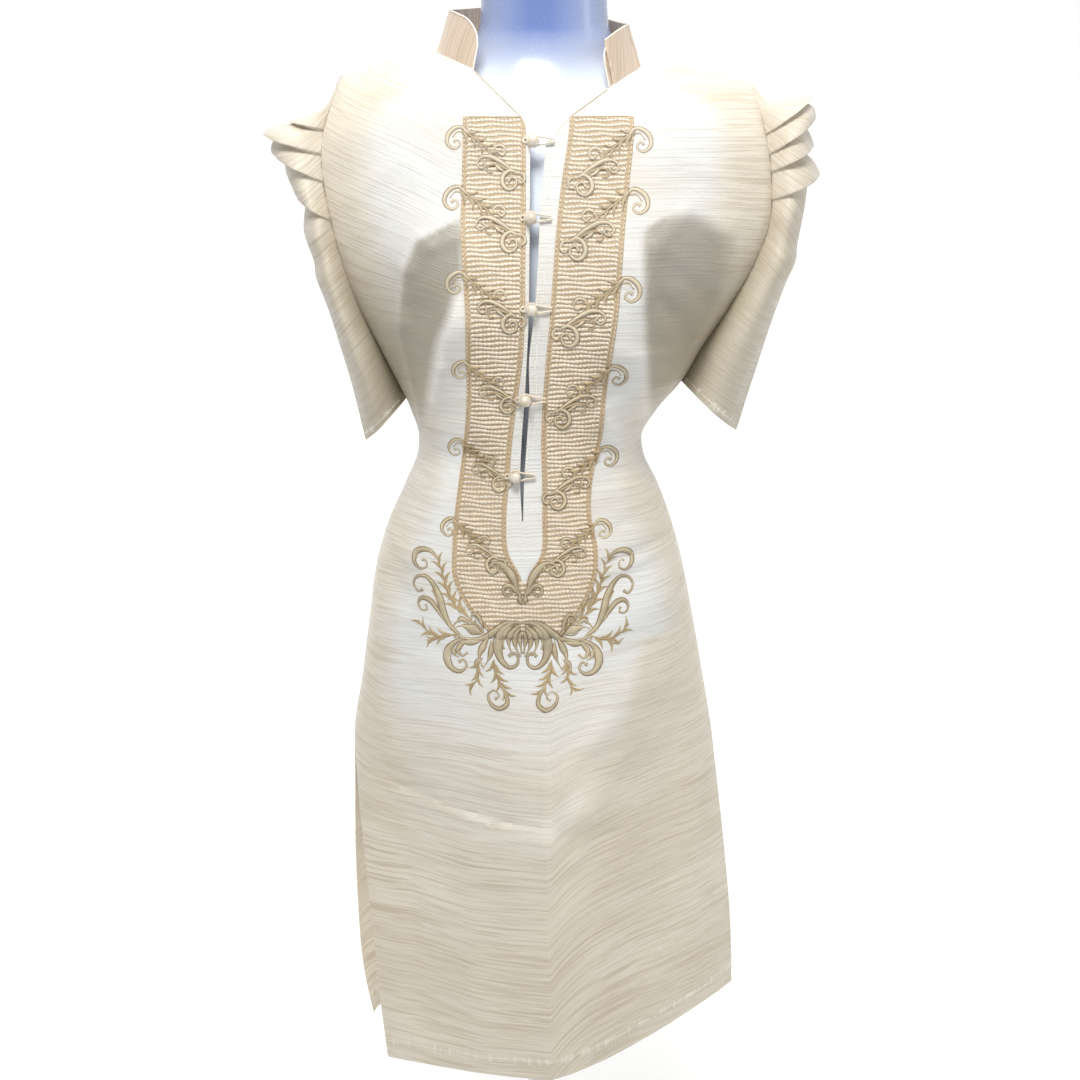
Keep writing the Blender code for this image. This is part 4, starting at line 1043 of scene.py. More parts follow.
def back_grid():
    """The whole back, row by row."""
    share = np.interp(back_places(), range(len(BACK_SHARES)), BACK_SHARES)
    level_z = levels((HEM_Z, NECK_Z), ROW_STEP)
    top_z = top_edge(ROLL, "back_top_z", back_line_x, share)
    return side_points(back_line_x, back_y, share, level_z, top_z, "back_z", SEAM_GAP / 2)


def grid_normals(grid, outward):
    """The direction out of the cloth at each point of a grid."""
    normals = np.cross(np.gradient(grid, axis=0), np.gradient(grid, axis=1))
    lengths = np.linalg.norm(normals, axis=2, keepdims=True)
    normals = normals / np.maximum(lengths, 1e-12)
    middle = normals[grid.shape[0] // 2, grid.shape[1] // 2]
    return normals if np.dot(middle, outward) > 0 else -normals


def turn_seams(grid, normals):
    """Normals at the side seams and shoulder seams, turned so that two walls meet flush."""
    normals = normals.copy()
    normals[:, 0] = (-1.0, 0.0, 0.0)
    normals[:, -1] = (1.0, 0.0, 0.0)
    shoulder = np.abs(grid[-1, :, 1]) < 0.004
    normals[-1, shoulder] = (0.0, 0.0, 1.0)
    return normals


def lengths_along(grid, axis):
    """Distance walked over the cloth from the first row or column, at each point."""
    steps = np.linalg.norm(np.diff(grid, axis=axis), axis=2)
    walked = np.cumsum(steps, axis=axis)
    start = np.zeros_like(walked[:1] if axis == 0 else walked[:, :1])
    return np.concatenate([start, walked], axis=axis)


def mesh_object(name, points, faces, finish, uv=None, sharp=50.0):
    """A smooth mesh object with one material and, where given, a pattern map in metres."""
    mesh = bpy.data.meshes.new(name)
    mesh.from_pydata(points, [], faces)
    if uv is not None:
        layer = mesh.uv_layers.new(name="UVMap")
        index = np.zeros(len(mesh.loops), np.int32)
        mesh.loops.foreach_get("vertex_index", index)
        layer.data.foreach_set("uv", np.asarray(uv, np.float32)[index].ravel())
    mesh.shade_smooth()
    mesh.set_sharp_from_angle(angle=math.radians(sharp))
    mesh.materials.append(finish)
    mesh.validate()
    obj = bpy.data.objects.new(name, mesh)
    bpy.context.scene.collection.objects.link(obj)
    return obj


def cloth_shell(name, grid, normals, thickness, finish, uv, keep=None, lift=0.0, values=()):
    """A thin closed shell of cloth over the kept cells of a grid, with named values."""
    rows, lines = grid.shape[:2]
    if keep is None:
        keep = np.ones((rows - 1, lines - 1), bool)
    number = np.arange(rows * lines).reshape(rows, lines)
    cells = np.stack(
        [number[:-1, :-1], number[:-1, 1:], number[1:, 1:], number[1:, :-1]], axis=-1
    )[keep]
    flat = grid.reshape(-1, 3)
    first = cells[len(cells) // 2]
    face_out = np.cross(flat[first[1]] - flat[first[0]], flat[first[3]] - flat[first[0]])
    if np.dot(face_out, normals.reshape(-1, 3)[first[0]]) < 0:
        cells = cells[:, ::-1]
    used = np.unique(cells)
    renumber = np.full(rows * lines, -1)
    renumber[used] = np.arange(len(used))
    cells = renumber[cells]
    out = normals.reshape(-1, 3)[used]
    outer = flat[used] + out * lift
    inner = outer - out * thickness
    starts = cells.ravel()
    ends = np.roll(cells, -1, axis=1).ravel()
    key = np.minimum(starts, ends) * len(used) + np.maximum(starts, ends)
    _, where, count = np.unique(key, return_index=True, return_counts=True)
    rim = where[count == 1]
    sides = np.stack(
        [ends[rim], starts[rim], starts[rim] + len(used), ends[rim] + len(used)], axis=-1
    )
    faces = np.concatenate([cells, cells[:, ::-1] + len(used), sides])
    points = np.concatenate([outer, inner])
    pattern = uv.reshape(-1, 2)[used]
    made = mesh_object(name, points, faces.tolist(), finish, np.concatenate([pattern, pattern]))
    for label, amounts in values:
        amount = np.broadcast_to(amounts, (rows, lines)).reshape(-1)[used]
        attribute = made.data.attributes.new(label, "FLOAT", "POINT")
        attribute.data.foreach_set("value", np.concatenate([amount, amount]).astype(np.float32))
    return made


def puckered(up, fold):
    """How strongly the stitched hem puckers the cloth at each height above the edge, which also
    places painted glints.
    """
    return np.exp(-(((up - fold) / 0.006) ** 2))


def form_behind(grid):
    """How far the form shows through the thin cloth."""
    x, _, z = np.moveaxis(grid, -1, 0)
    keys = column(FORM, "z")[::-1]
    half = np.interp(z, keys, column(FORM, "half_width")[::-1])
    middle = np.interp(z, keys, column(FORM, "mid_x")[::-1])
    touched = ramp(half + SHOW_PAST - np.abs(x - middle), 0.0, SHOW_THROUGH)
    touched = touched * ramp(z - keys[0], *SHOW_LOW)
    beside = smooth(DRAPE, "x", z) - x
    drawn = DRAWN_SHARE * ramp(beside, 0.0, DRAPE_EDGE) * ramp(x, *DRAWN_X) * ramp(z, *DRAWN_Z)
    clear = np.maximum(soft_edge(beside, DRAPE_EDGE), CLEAR_LEAST)
    return np.maximum(touched, drawn) * np.where(z < CLEAR_BELOW_Z, clear, 1.0)


def hollow_shade(grid):
    """Painted shade where the front hangs free under the bust and looks darker."""
    x, _, z = np.moveaxis(grid, -1, 0)
    keys = column(HOLLOW_SHADES, "z")[::-1]
    left_out, left_in, right_in, right_out, dark = (
        np.interp(z, keys, column(HOLLOW_SHADES, name)[::-1]) for name in HOLLOW_SHADES[0][1:]
    )
    left = soft_edge(x - left_out, SHADE_EDGE_CRISP) * soft_edge(left_in - x, SHADE_EDGE_SOFT)
    right = soft_edge(x - right_in, SHADE_EDGE_CRISP) * soft_edge(right_out - x, SHADE_EDGE_BLURRED)
    side = ramp(np.abs(x), *SIDE_SHADE_X) * ramp(z, *SIDE_SHADE_TOP) * ramp(z, *SIDE_SHADE_LOW)
    return np.maximum(dark * (left + right), SIDE_SHADE * side)


def weft_height(grid, up):
    """The height of the weft thread through each point of the front."""
    x, _, z = np.moveaxis(grid, -1, 0)
    beside = np.maximum(x - CREASE_X, 0.0)
    rise = PULL_HEIGHT * (1.0 - np.exp(-beside / PULL_WIDTH)) + PULL_SLOPE * beside
    outer = ARM_PULL * np.maximum(ARM_PULL_X - x, 0.0) * ramp(z, *ARM_PULL_Z)
    return z - rise * ramp(up, *PULL_FADE) - outer


def walked_along(line):
    """Distance walked along a line, at each of its points."""
    return np.concatenate([[0.0], np.cumsum(np.linalg.norm(np.diff(line, axis=0), axis=1))])


def evenly(line, step):
    """Points at even steps along a line."""
    walked = walked_along(line)
    even = np.linspace(0.0, walked[-1], max(3, round(walked[-1] / step) + 1))
    return np.stack([np.interp(even, walked, line[:, k]) for k in range(line.shape[1])], axis=-1)


def through(points, step):
    """Points at even steps along a smooth line through the given ones."""
    points = np.array(points, float)
    steps = np.linalg.norm(np.diff(points, axis=0), axis=1)
    keys = np.concatenate([[0.0], np.cumsum(np.sqrt(steps))])
    slopes = np.gradient(points, keys, axis=0)
    dense = np.linspace(0.0, keys[-1], 30 * len(points))
    line = np.stack(
        [hermite(keys, points[:, axis], slopes[:, axis], dense) for axis in range(points.shape[1])],
        axis=-1,
    )
    return evenly(line, step)


class Paths:
    """Lines that Geometry Nodes turn into cords or rows of stitches."""

    def __init__(self):
        self.points = []
        self.edges = []
        self.widths = []
        self.outs = []
        self.alongs = []
        self.tilts = []

    def add(self, points, outs, width, tilt=0.0):
        """One more line, with its width in metres and how far its stitches lean."""
        first = len(self.points)
        self.points += [tuple(point) for point in points]
        self.edges += [(first + k, first + k + 1) for k in range(len(points) - 1)]
        self.widths += list(np.broadcast_to(width, len(points)))
        self.outs += [tuple(out) for out in np.broadcast_to(outs, (len(points), 3))]
        self.alongs += list(walked_along(points))
        self.tilts += [tilt] * len(points)

    def source(self, name):
        """A mesh object of the lines, with their values on the points."""
        mesh = bpy.data.meshes.new(name)
        mesh.from_pydata(self.points, self.edges, [])
        for key, values in (("width", self.widths), ("along", self.alongs), ("tilt", self.tilts)):
            attribute = mesh.attributes.new(key, "FLOAT", "POINT")
            attribute.data.foreach_set("value", np.array(values, np.float32))
        out = mesh.attributes.new("out", "FLOAT_VECTOR", "POINT")
        out.data.foreach_set("vector", np.array(self.outs, np.float32).ravel())
        obj = bpy.data.objects.new(name, mesh)
        bpy.context.scene.collection.objects.link(obj)
        return obj


class Nodes:
    """A node tree that nodes are added to one by one."""

    def add(self, kind, inputs=(), **settings):
        """One node, with its settings and its inputs by name or number."""
        node = self.tree.nodes.new(kind)
        for key, value in settings.items():
            setattr(node, key, value)
        for key, value in dict(inputs).items():
            if isinstance(value, bpy.types.NodeSocket):
                self.tree.links.new(value, node.inputs[key])
            else:
                node.inputs[key].default_value = value
        return node

    def made_by(self, kind, inputs=(), **settings):
        """What a new node gives first."""
        return self.add(kind, inputs, **settings).outputs[0]

    def math(self, operation, first, second=0.0, clamp=False):
        """The result of one sum."""
        return self.made_by(
            "ShaderNodeMath", {0: first, 1: second}, operation=operation, use_clamp=clamp
        )

    def times(self, first, second):
        """The product of two values."""
        return self.math("MULTIPLY", first, second)

    def plus(self, first, second):
        """The sum of two values."""
        return self.math("ADD", first, second)


class Tree(Nodes):
    """A Geometry Nodes tree with named inputs."""

    def __init__(self, name, inputs):
        self.tree = bpy.data.node_groups.new(name, "GeometryNodeTree")
        face = self.tree.interface
        face.new_socket("Geometry", in_out="INPUT", socket_type="NodeSocketGeometry")
        for label, kind, value in inputs:
            socket = face.new_socket(label, in_out="INPUT", socket_type="NodeSocket" + kind)
            if value is not None:
                socket.default_value = value
        face.new_socket("Material", in_out="INPUT", socket_type="NodeSocketMaterial")
        face.new_socket("Geometry", in_out="OUTPUT", socket_type="NodeSocketGeometry")
        self.given = self.tree.nodes.new("NodeGroupInput").outputs

    def named(self, name, kind="FLOAT"):
        """The value of a named attribute."""
        node = self.add("GeometryNodeInputNamedAttribute", {"Name": name}, data_type=kind)
        return node.outputs["Attribute"]

    def curves(self):
        """The given lines as curves."""
        return self.made_by("GeometryNodeMeshToCurve", {"Mesh": self.given["Geometry"]})

    def finish(self, geometry):
        """Ends the tree with realized instances, smooth faces and the given material."""
        real = self.made_by("GeometryNodeRealizeInstances", {"Geometry": geometry})
        shaded = self.made_by("GeometryNodeSetShadeSmooth", {"Geometry": real})
        made = self.made_by(
            "GeometryNodeSetMaterial", {"Geometry": shaded, "Material": self.given["Material"]}
        )
        end = self.tree.nodes.new("NodeGroupOutput")
        self.tree.links.new(made, end.inputs[0])
        return self.tree


def cord_tree():
    """Round cords of a given width along the lines of a mesh."""
    made = Tree("satin_cords", (("Sides", "Int", 8),))
    profile = made.made_by(
        "GeometryNodeCurvePrimitiveCircle", {"Resolution": made.given["Sides"], "Radius": 1.0}
    )
    cords = made.made_by(
        "GeometryNodeCurveToMesh",
        {
            "Curve": made.curves(),
            "Profile Curve": profile,
            "Scale": made.times(made.named("width"), 0.5),
            "Fill Caps": True,
        },
    )
    return made.finish(cords)


def stitch_tree():
    """Rounded stitches set at even steps along the lines of a mesh."""
    sizes = zip(STITCHES[0][1:-1], STITCHES[1][1:-1])
    inputs = [(label, "Float", value) for label, value in sizes]
    made = Tree("stitch_rows", inputs + [("Seed", "Int", 7)])
    given = made.given
    even = made.made_by(
        "GeometryNodeResampleCurve", {"Curve": made.curves(), "Length": given["Pitch"]},
        mode="LENGTH",
    )
    ball = made.made_by("GeometryNodeMeshUVSphere", {"Segments": 6, "Rings": 4, "Radius": 0.5})
    size = made.made_by(
        "ShaderNodeCombineXYZ", {"X": given["Length"], "Y": given["Width"], "Z": given["Height"]}
    )
    stitch = made.made_by("GeometryNodeTransform", {"Geometry": ball, "Scale": size})
    along = made.made_by("GeometryNodeInputTangent")
    turned = made.made_by("FunctionNodeAlignRotationToVector", {"Vector": along}, axis="X")
    faced = made.made_by(
        "FunctionNodeAlignRotationToVector",
        {"Rotation": turned, "Vector": made.named("out", "FLOAT_VECTOR")},
        axis="Z",
        pivot_axis="X",
    )
    varied = made.add(
        "FunctionNodeRandomValue",
        {
            "Min": made.math("SUBTRACT", 1.0, given["Uneven"]),
            "Max": made.plus(1.0, given["Uneven"]),
            "Seed": given["Seed"],
        },
        data_type="FLOAT",
    )
    many = made.made_by(
        "GeometryNodeInstanceOnPoints",
        {"Points": even, "Instance": stitch, "Rotation": faced, "Scale": varied.outputs["Value"]},
    )
    lean = made.made_by("ShaderNodeCombineXYZ", {"Z": made.named("tilt")})
    return made.finish(
        made.made_by("GeometryNodeRotateInstances", {"Instances": many, "Rotation": lean})
    )


def once(store, name, build):
    """What has this name, built the first time that it is asked for."""
    found = store.get(name)
    return found if found else build()


def grow(name, paths, tree, values):
    """A plain mesh piece that a tree makes on the lines."""
    source = paths.source(name + "_lines")
    modifier = source.modifiers.new("made", "NODES")
    modifier.node_group = tree
    for item in tree.interface.items_tree:
        if item.in_out == "INPUT" and item.name in values:
            modifier[item.identifier] = values[item.name]
    graph = bpy.context.evaluated_depsgraph_get()
    mesh = bpy.data.meshes.new_from_object(
        source.evaluated_get(graph), preserve_all_data_layers=True, depsgraph=graph
    )
    if not mesh.polygons:
        raise RuntimeError(f"{name} came out empty")
    source.modifiers.remove(modifier)
    bpy.data.objects.remove(source)
    mesh.name = name
    made = bpy.data.objects.new(name, mesh)
    bpy.context.scene.collection.objects.link(made)
    return made


def cords_along(name, paths, finish, sides=8):
    """A piece of round cords along the lines."""
    tree = once(bpy.data.node_groups, "satin_cords", cord_tree)
    return grow(name, paths, tree, {"Sides": sides, "Material": finish})


def stitches_along(name, paths, finish, **sizes):
    """A piece of stitches along the lines, of the table's sizes or the given ones."""
    row = next(row for row in STITCHES[1:] if row[0] == name)
    values = {**dict(zip(STITCHES[0], row)), **sizes, "Material": finish}
    return grow(name, paths, once(bpy.data.node_groups, "stitch_rows", stitch_tree), values)


class Finish(Nodes):
    """A node material that reads Object coordinates or a piece's own map."""

    def __init__(self, name, roughness, **constants):
        self.material = bpy.data.materials.new(name)
        self.material.use_nodes = True
        self.tree = self.material.node_tree
        self.shader = self.tree.nodes["Principled BSDF"]
        self.shader.inputs["Roughness"].default_value = roughness
        for key, value in constants.items():
            self.shader.inputs[key.replace("_", " ")].default_value = value

    def map_uv(self):
        """The piece's own map, in metres."""
        return self.made_by("ShaderNodeUVMap", uv_map="UVMap")

    def place(self):
        """Object coordinates."""
        return self.add("ShaderNodeTexCoord").outputs["Object"]

    def value(self, name):
        """A value stored on the piece."""
        return self.add("ShaderNodeAttribute", attribute_name=name).outputs["Fac"]

    def noise(self, vector, scale, detail=2.0, shift=0.0, flat=True):
        """Noise stretched by the given scales."""
        moved = self.made_by(
            "ShaderNodeMapping", {"Vector": vector, "Scale": scale, "Location": (shift,) * 3}
        )
        return self.made_by(
            "ShaderNodeTexNoise", {"Vector": moved, "Scale": 1.0, "Detail": detail},
            noise_dimensions="2D" if flat else "3D",
        )

    def between(self, value, low, high, to_low=0.0, to_high=1.0):
        """A value moved from one range to another and held there."""
        ranges = {"From Min": low, "From Max": high, "To Min": to_low, "To Max": to_high}
        return self.made_by("ShaderNodeMapRange", {"Value": value, **ranges})

    def blend(self, amount, first, second):
        """Two colours mixed by an amount."""
        node = self.add("ShaderNodeMix", {"Factor": amount}, data_type="RGBA")
        for socket, value in ((node.inputs[6], first), (node.inputs[7], second)):
            if isinstance(value, bpy.types.NodeSocket):
                self.tree.links.new(value, socket)
            else:
                socket.default_value = (*value, 1.0)
        return node.outputs[2]

    def colour(self, value):
        """Joins the colour."""
        self.tree.links.new(value, self.shader.inputs["Base Color"])

    def rough(self, value):
        """Joins the roughness."""
        self.tree.links.new(value, self.shader.inputs["Roughness"])

    def bump(self, height, strength, distance):
        """Joins a bump of the given height."""
        settings = {"Height": height, "Strength": strength, "Distance": distance}
        bumped = self.made_by("ShaderNodeBump", settings)
        self.tree.links.new(bumped, self.shader.inputs["Normal"])


def darker(colour, share):
    """A colour with less light in it."""
    return tuple(channel * share for channel in colour)


def streaked_cloth(name, ground, streak, strength, body=True):
    """Silky plain-woven cloth with uneven coloured weft threads."""
    made = Finish(
        name, 0.5, Sheen_Weight=0.22, Sheen_Roughness=0.40, Specular_IOR_Level=0.40
    )
    uv = made.map_uv()
    up = made.add("ShaderNodeSeparateXYZ", {"Vector": uv}).outputs["Y"]
    drift = made.noise(uv, (4.0, 3.0, 1.0), 1.0, 3.0)
    shift = made.times(made.math("SUBTRACT", drift, 0.5), 0.036)
    offset = made.made_by("ShaderNodeCombineXYZ", {"Y": shift})
    waved = made.made_by("ShaderNodeVectorMath", {0: uv, 1: offset}, operation="ADD")
    fine, slub, lines, blotch = (
        made.between(made.noise(waved, (across, along, 1.0), detail, place), least, most)
        for _, across, along, detail, place, least, most in THREADS[1:]
    )
    dense = made.between(made.noise(uv, (5.0, 7.0, 1.0), 1.0, 9.2), 0.38, 0.62, 0.25, 1.0)
    low = made.between(up, 0.45, 1.05, 0.82, 0.60)
    threads = made.plus(made.times(fine, 0.30), made.times(slub, 0.26))
    lines = made.times(made.times(lines, dense), 0.66)
    threads = made.times(made.math("MAXIMUM", threads, lines), low)
    warm = tuple(g * 0.55 + k * 0.45 for g, k in zip(ground, streak))
    toned = made.blend(made.times(made.times(blotch, low), 0.42), ground, warm)
    if body:
        behind = made.value("behind")
        cooled = made.times(behind, made.between(blotch, 0.0, 1.0, 0.95, 0.60))
        toned = made.blend(cooled, toned, COOL_WHITE)
        # Painted shade where the cloth hangs free: khaki lower down, grey higher up
        depth = made.blend(made.between(up, 0.98, 1.08), HOLLOW_SHADE_KHAKI, HOLLOW_SHADE_GREY)
        toned = made.blend(made.value("hollow"), toned, depth)
        threads = made.times(threads, made.between(behind, 0.0, 1.0, 1.0, 0.55))
    toned = made.blend(made.math("MULTIPLY", threads, strength, clamp=True), toned, streak)
    if body:
        # Painted glints: white specks where the hem puckers
        across = made.noise(uv, (190.0, 40.0, 1.0), 1.0, 4.4)
        pucker = made.times(across, made.value("pucker"))
        toned = made.blend(made.between(pucker, 0.40, 0.60, 0.0, 0.60), toned, THREAD_AND_HIGHLIGHT_WHITE)
    made.colour(toned)
    made.rough(made.between(fine, 0.0, 1.0, 0.40, 0.56))
    weft = made.noise(uv, (200.0, 1300.0, 1.0), 1.0)
    warp = made.noise(uv, (1300.0, 200.0, 1.0), 1.0)
    relief = made.plus(made.times(weft, 0.5), made.times(warp, 0.35))
    relief = made.plus(relief, made.times(slub, 0.5))
    crumple = made.noise(uv, (45.0, 60.0, 1.0), 3.0, 2.2)
    relief = made.plus(relief, made.times(crumple, 1.6))
    if body:
        relief = made.plus(relief, made.times(pucker, 5.0))
    made.bump(relief, 0.6, 0.0007)
    return made.material


def thread_finish(name, colour, twist, sheen=0.35, spread=0.12, painted_top_light=0.40):
    """Smooth embroidery thread, with fine strands across it."""
    made = Finish(name, 0.42, Sheen_Weight=sheen, Sheen_Roughness=0.35, Specular_IOR_Level=0.45)
    place = made.place()
    tone = made.noise(place, (90.0, 90.0, 90.0), 2.0, flat=False)
    blotch = made.noise(place, (14.0, 14.0, 14.0), 1.0, flat=False)
    amount = made.between(made.times(made.plus(tone, blotch), 0.5), 0.35, 0.65)
    toned = made.blend(amount, darker(colour, 1.0 - spread), darker(colour, 1.0 + spread))
    # Painted light: the thread is whiter higher up the dress, where strong light falls from above
    height = made.add("ShaderNodeSeparateXYZ", {"Vector": place}).outputs["Z"]
    made.colour(made.blend(made.between(height, 0.92, 1.22, 0.0, painted_top_light), toned, THREAD_AND_HIGHLIGHT_WHITE))
    strand = made.math("SINE", made.times(made.value("along"), twist))
    grain = made.noise(place, (2600.0, 2600.0, 2600.0), 1.0, flat=False)
    made.bump(made.plus(strand, grain), 0.35, 0.00025)
    return made.material


def pearl_finish():
    """Nacre, with a soft sheen over a clear coat."""
    made = Finish(
        "nacre", 0.22, Coat_Weight=0.8, Coat_Roughness=0.06, Sheen_Weight=0.2,
        Specular_IOR_Level=0.6,
    )
    place = made.place()
    veil = made.between(made.noise(place, (160.0, 160.0, 160.0), 3.0, flat=False), 0.35, 0.65)
    made.colour(made.blend(veil, darker(PEARL, 0.80), (0.86, 0.80, 0.70)))
    made.rough(made.between(veil, 0.0, 1.0, 0.18, 0.28))
    return made.material


def form_finish(colour):
    """Glossy moulded plastic with a faint unevenness."""
    made = Finish("form_gloss", 0.24, Coat_Weight=0.35, Coat_Roughness=0.12)
    place = made.place()
    cloud = made.noise(place, (6.0, 6.0, 6.0), 2.0, flat=False)
    parts = made.add("ShaderNodeSeparateXYZ", {"Vector": place}).outputs
    # Painted light: the form is near white where strong light falls, and blue at the top of its
    # neck, most near the middle
    beside = made.between(made.math("ABSOLUTE", parts["X"]), 0.010, 0.060, 1.0, 0.60)
    neck = made.times(made.between(parts["Z"], 1.245, 1.300), beside)
    painted_lit_pale = made.blend(cloud, darker(colour, 0.97), darker(colour, 1.02))
    made.colour(made.blend(neck, painted_lit_pale, FORM_BLUE))
    fine = made.noise(place, (320.0, 320.0, 320.0), 2.0, flat=False)
    made.rough(made.between(fine, 0.3, 0.7, 0.20, 0.29))
    made.bump(fine, 0.06, 0.0004)
    return made.material


def steel_finish():
    """Brushed steel, with the brushing round the stand."""
    made = Finish("stand_brushed", 0.32, Metallic=1.0, Anisotropic=0.5)
    place = made.place()
    lines = made.noise(place, (8.0, 8.0, 1400.0), 3.0, flat=False)
    made.colour(made.blend(lines, darker(STEEL, 0.85), darker(STEEL, 1.12)))
    made.rough(made.between(lines, 0.3, 0.7, 0.26, 0.40))
    made.bump(lines, 0.10, 0.0003)
    return made.material


def floor_finish(colour):
    """Plain pale matt floor."""
    made = Finish("pale_floor", 0.85)
    tone = made.noise(made.place(), (1.2, 1.2, 1.2), 2.0, flat=False)
    made.colour(made.blend(tone, darker(colour, 0.985), colour))
    return made.material


def settings():
    """The sizes and colours that a user may change."""
    return bpy.context.scene.tunic_dress


def colour_of(name):
    """One of the colours that a user may change."""
    return tuple(getattr(settings(), name + "_colour"))


def ivory_cloth():
    """The dress cloth, as the user's colours have it."""
    strength = settings().streak_strength
    return once(
        bpy.data.materials,
        "silk_weave",
        lambda: streaked_cloth("silk_weave", colour_of("cloth"), colour_of("streak"), strength),
    )


def put(obj, slot, *nodes):
    """Attaches a piece to the root and hides the solids that it stands for. Its slot is not used."""
    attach(obj, "root")
    if nodes:
        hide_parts(*nodes)


def dress_side(name, grid, outward, middle, start, height, values, keep=None):
    """One side of the dress, whose pattern runs both ways from its middle line."""
    normals = turn_seams(grid, grid_normals(grid, outward))
    across = lengths_along(grid, 1)
    uv = np.stack([across - across[:, middle : middle + 1] + start, height], axis=-1)
    values = (("pucker", puckered(lengths_along(grid, 0), HEM_FOLD)), *values)
    thickness = settings().cloth_thickness
    return cloth_shell(name, grid, normals, thickness, ivory_cloth(), uv, keep, values=values)


def build_body():
    """The front and back panels of the dress."""
    grid, level_z = front_grid()
    middle = int(np.argmin(np.abs(grid[0, :, 0] - grid[0, :, 0].mean())))
    height = weft_height(grid, lengths_along(grid, 0))
    keep = np.ones((grid.shape[0] - 1, grid.shape[1] - 1), bool)
    keep[middles(level_z) > SLIT_END_Z, sum(FRONT_CUTS[:GAP_CELL])] = False
    values = (("behind", form_behind(grid)), ("hollow", hollow_shade(grid)))
    front = dress_side(
        "cloth_front", grid, (0.0, -1.0, 0.0), middle, 0.0, height, values, keep
    )
    put(front, "ivory_cloth", "front")

    grid = back_grid()
    values = (("behind", BACK_SHOWS * form_behind(grid)),)
    back = dress_side(
        "cloth_back", grid, (0.0, 1.0, 0.0), grid.shape[1] // 2, 2.0, grid[..., 2], values
    )
    put(back, "ivory_cloth", "back")


def sleeve_grid(table, side):
    """Points of a sleeve's outer side: each row runs from front armhole to back armhole."""
    edge = 0 if side < 0 else -1
    front_edge = front_grid()[0][:, edge]
    back_edge = back_grid()[:, edge]
    keys = np.arange(len(table) - 1, dtype=float)
    at = np.linspace(0.0, keys[-1], (len(keys) - 1) * SLEEVE_ROW_CUTS + 1)
    seam_z = np.concatenate([front_edge[-SEAM_ROWS:, 2], back_edge[-SEAM_ROWS:, 2]])
    matched = np.interp(-seam_z, -eased(keys, column(table, "arm_z"), at), at)
    at = np.unique(np.round(np.concatenate([at, matched]), 3))
    arm_z, out_x, out_z, step = (eased(keys, column(table, name), at) for name in table[0])
    arm_z[0] = front_edge[-1, 2]
    arm_z = np.minimum(arm_z, front_edge[-1, 2])
    turn = np.linspace(0.0, math.pi / 2, SLEEVE_FLAT_LINES + 1)
    reach = np.concatenate([np.sin(turn), np.sin(turn[-2::-1])])
    is_front = np.arange(len(reach)) <= SLEEVE_FLAT_LINES
    sign = np.where(is_front, -1.0, 1.0)
    down = at / keys[-1]
    apart = SLEEVE_APART * np.clip(SLEEVE_OPENS * down, SLEEVE_CLOSED, 1.0)
    front_x, front_arm, back_x, back_arm = (
        np.interp(arm_z, points[:, 2], points[:, axis])
        for points in (front_edge, back_edge)
        for axis in (0, 1)
    )
    arm_x = np.where(is_front, front_x[:, None], back_x[:, None]) + side * ARM_GAP
    front_arm = np.minimum(front_arm, -apart)
    arm_y = np.where(is_front, front_arm[:, None], np.maximum(back_arm, apart)[:, None])
    round_off = np.sqrt(np.maximum(1.0 - reach**2, 0.0))
    flat_end = math.sqrt(1.0 - SLEEVE_FLAT_REACH**2) * (1.0 - reach) / (1.0 - SLEEVE_FLAT_REACH)
    round_off = np.where(reach > SLEEVE_FLAT_REACH, flat_end, round_off)
    belly = SLEEVE_BELLY_TOP + (SLEEVE_BELLY_HEM - SLEEVE_BELLY_TOP) * down**1.5
    belly = belly * np.minimum(1.0, SLEEVE_SWELLS * down)
    push = step[:, None] * (0.35 + 0.65 * np.sin(math.pi * np.minimum(reach, 0.75)))
    crease = folds(SLEEVE_CREASES, at[:, None], SLEEVE_CREASE_SCALE * reach[None])
    swell = (belly[:, None] + crease) * np.sin(math.pi * reach)
    x = arm_x + reach * (out_x[:, None] - arm_x) + side * push * reach
    y = arm_y * round_off + (swell + push * round_off) * sign
    z = arm_z[:, None] + reach * (out_z - arm_z)[:, None]
    return np.stack([x, y, z], axis=-1)


def build_sleeves():
    """Both sleeves, pleated at the head and open at the hem."""
    for name, table, side, area in (
        ("left", SLEEVE_LEFT, -1, 0.074), ("right", SLEEVE_RIGHT, 1, 0.078)
    ):
        grid = sleeve_grid(table, side)
        normals = grid_normals(grid, (side, 0.0, 0.0))
        normals[:, 0] = (0.0, -1.0, 0.0)
        normals[:, -1] = (0.0, 1.0, 0.0)
        down = lengths_along(grid, 0)
        up = down[-1:] - down
        across = lengths_along(grid, 1)
        uv = np.stack([across + 4.0 * side, up], axis=-1)
        # Painted shade: darker towards the hem, and beside the front armhole seam low down
        beside = np.exp(-((across / SEAM_SHADE_REACH) ** 2)) * ramp(up, *SEAM_SHADE_UP)
        inside = SLEEVE_SHADE * np.clip(SLEEVE_SHADE_TOP - up, 0.0, SLEEVE_SHADE_FALL)
        values = (
            ("pucker", puckered(up, SLEEVE_HEM_FOLD)),
            ("hollow", np.clip(inside + 0.5 * beside, 0.0, 1.0)),
        )
        thickness = settings().cloth_thickness
        sleeve = cloth_shell(
            "cloth_sleeve_" + name, grid, normals, thickness, ivory_cloth(), uv, values=values
        )
        put(sleeve, "ivory_cloth", "sleeve_" + name)


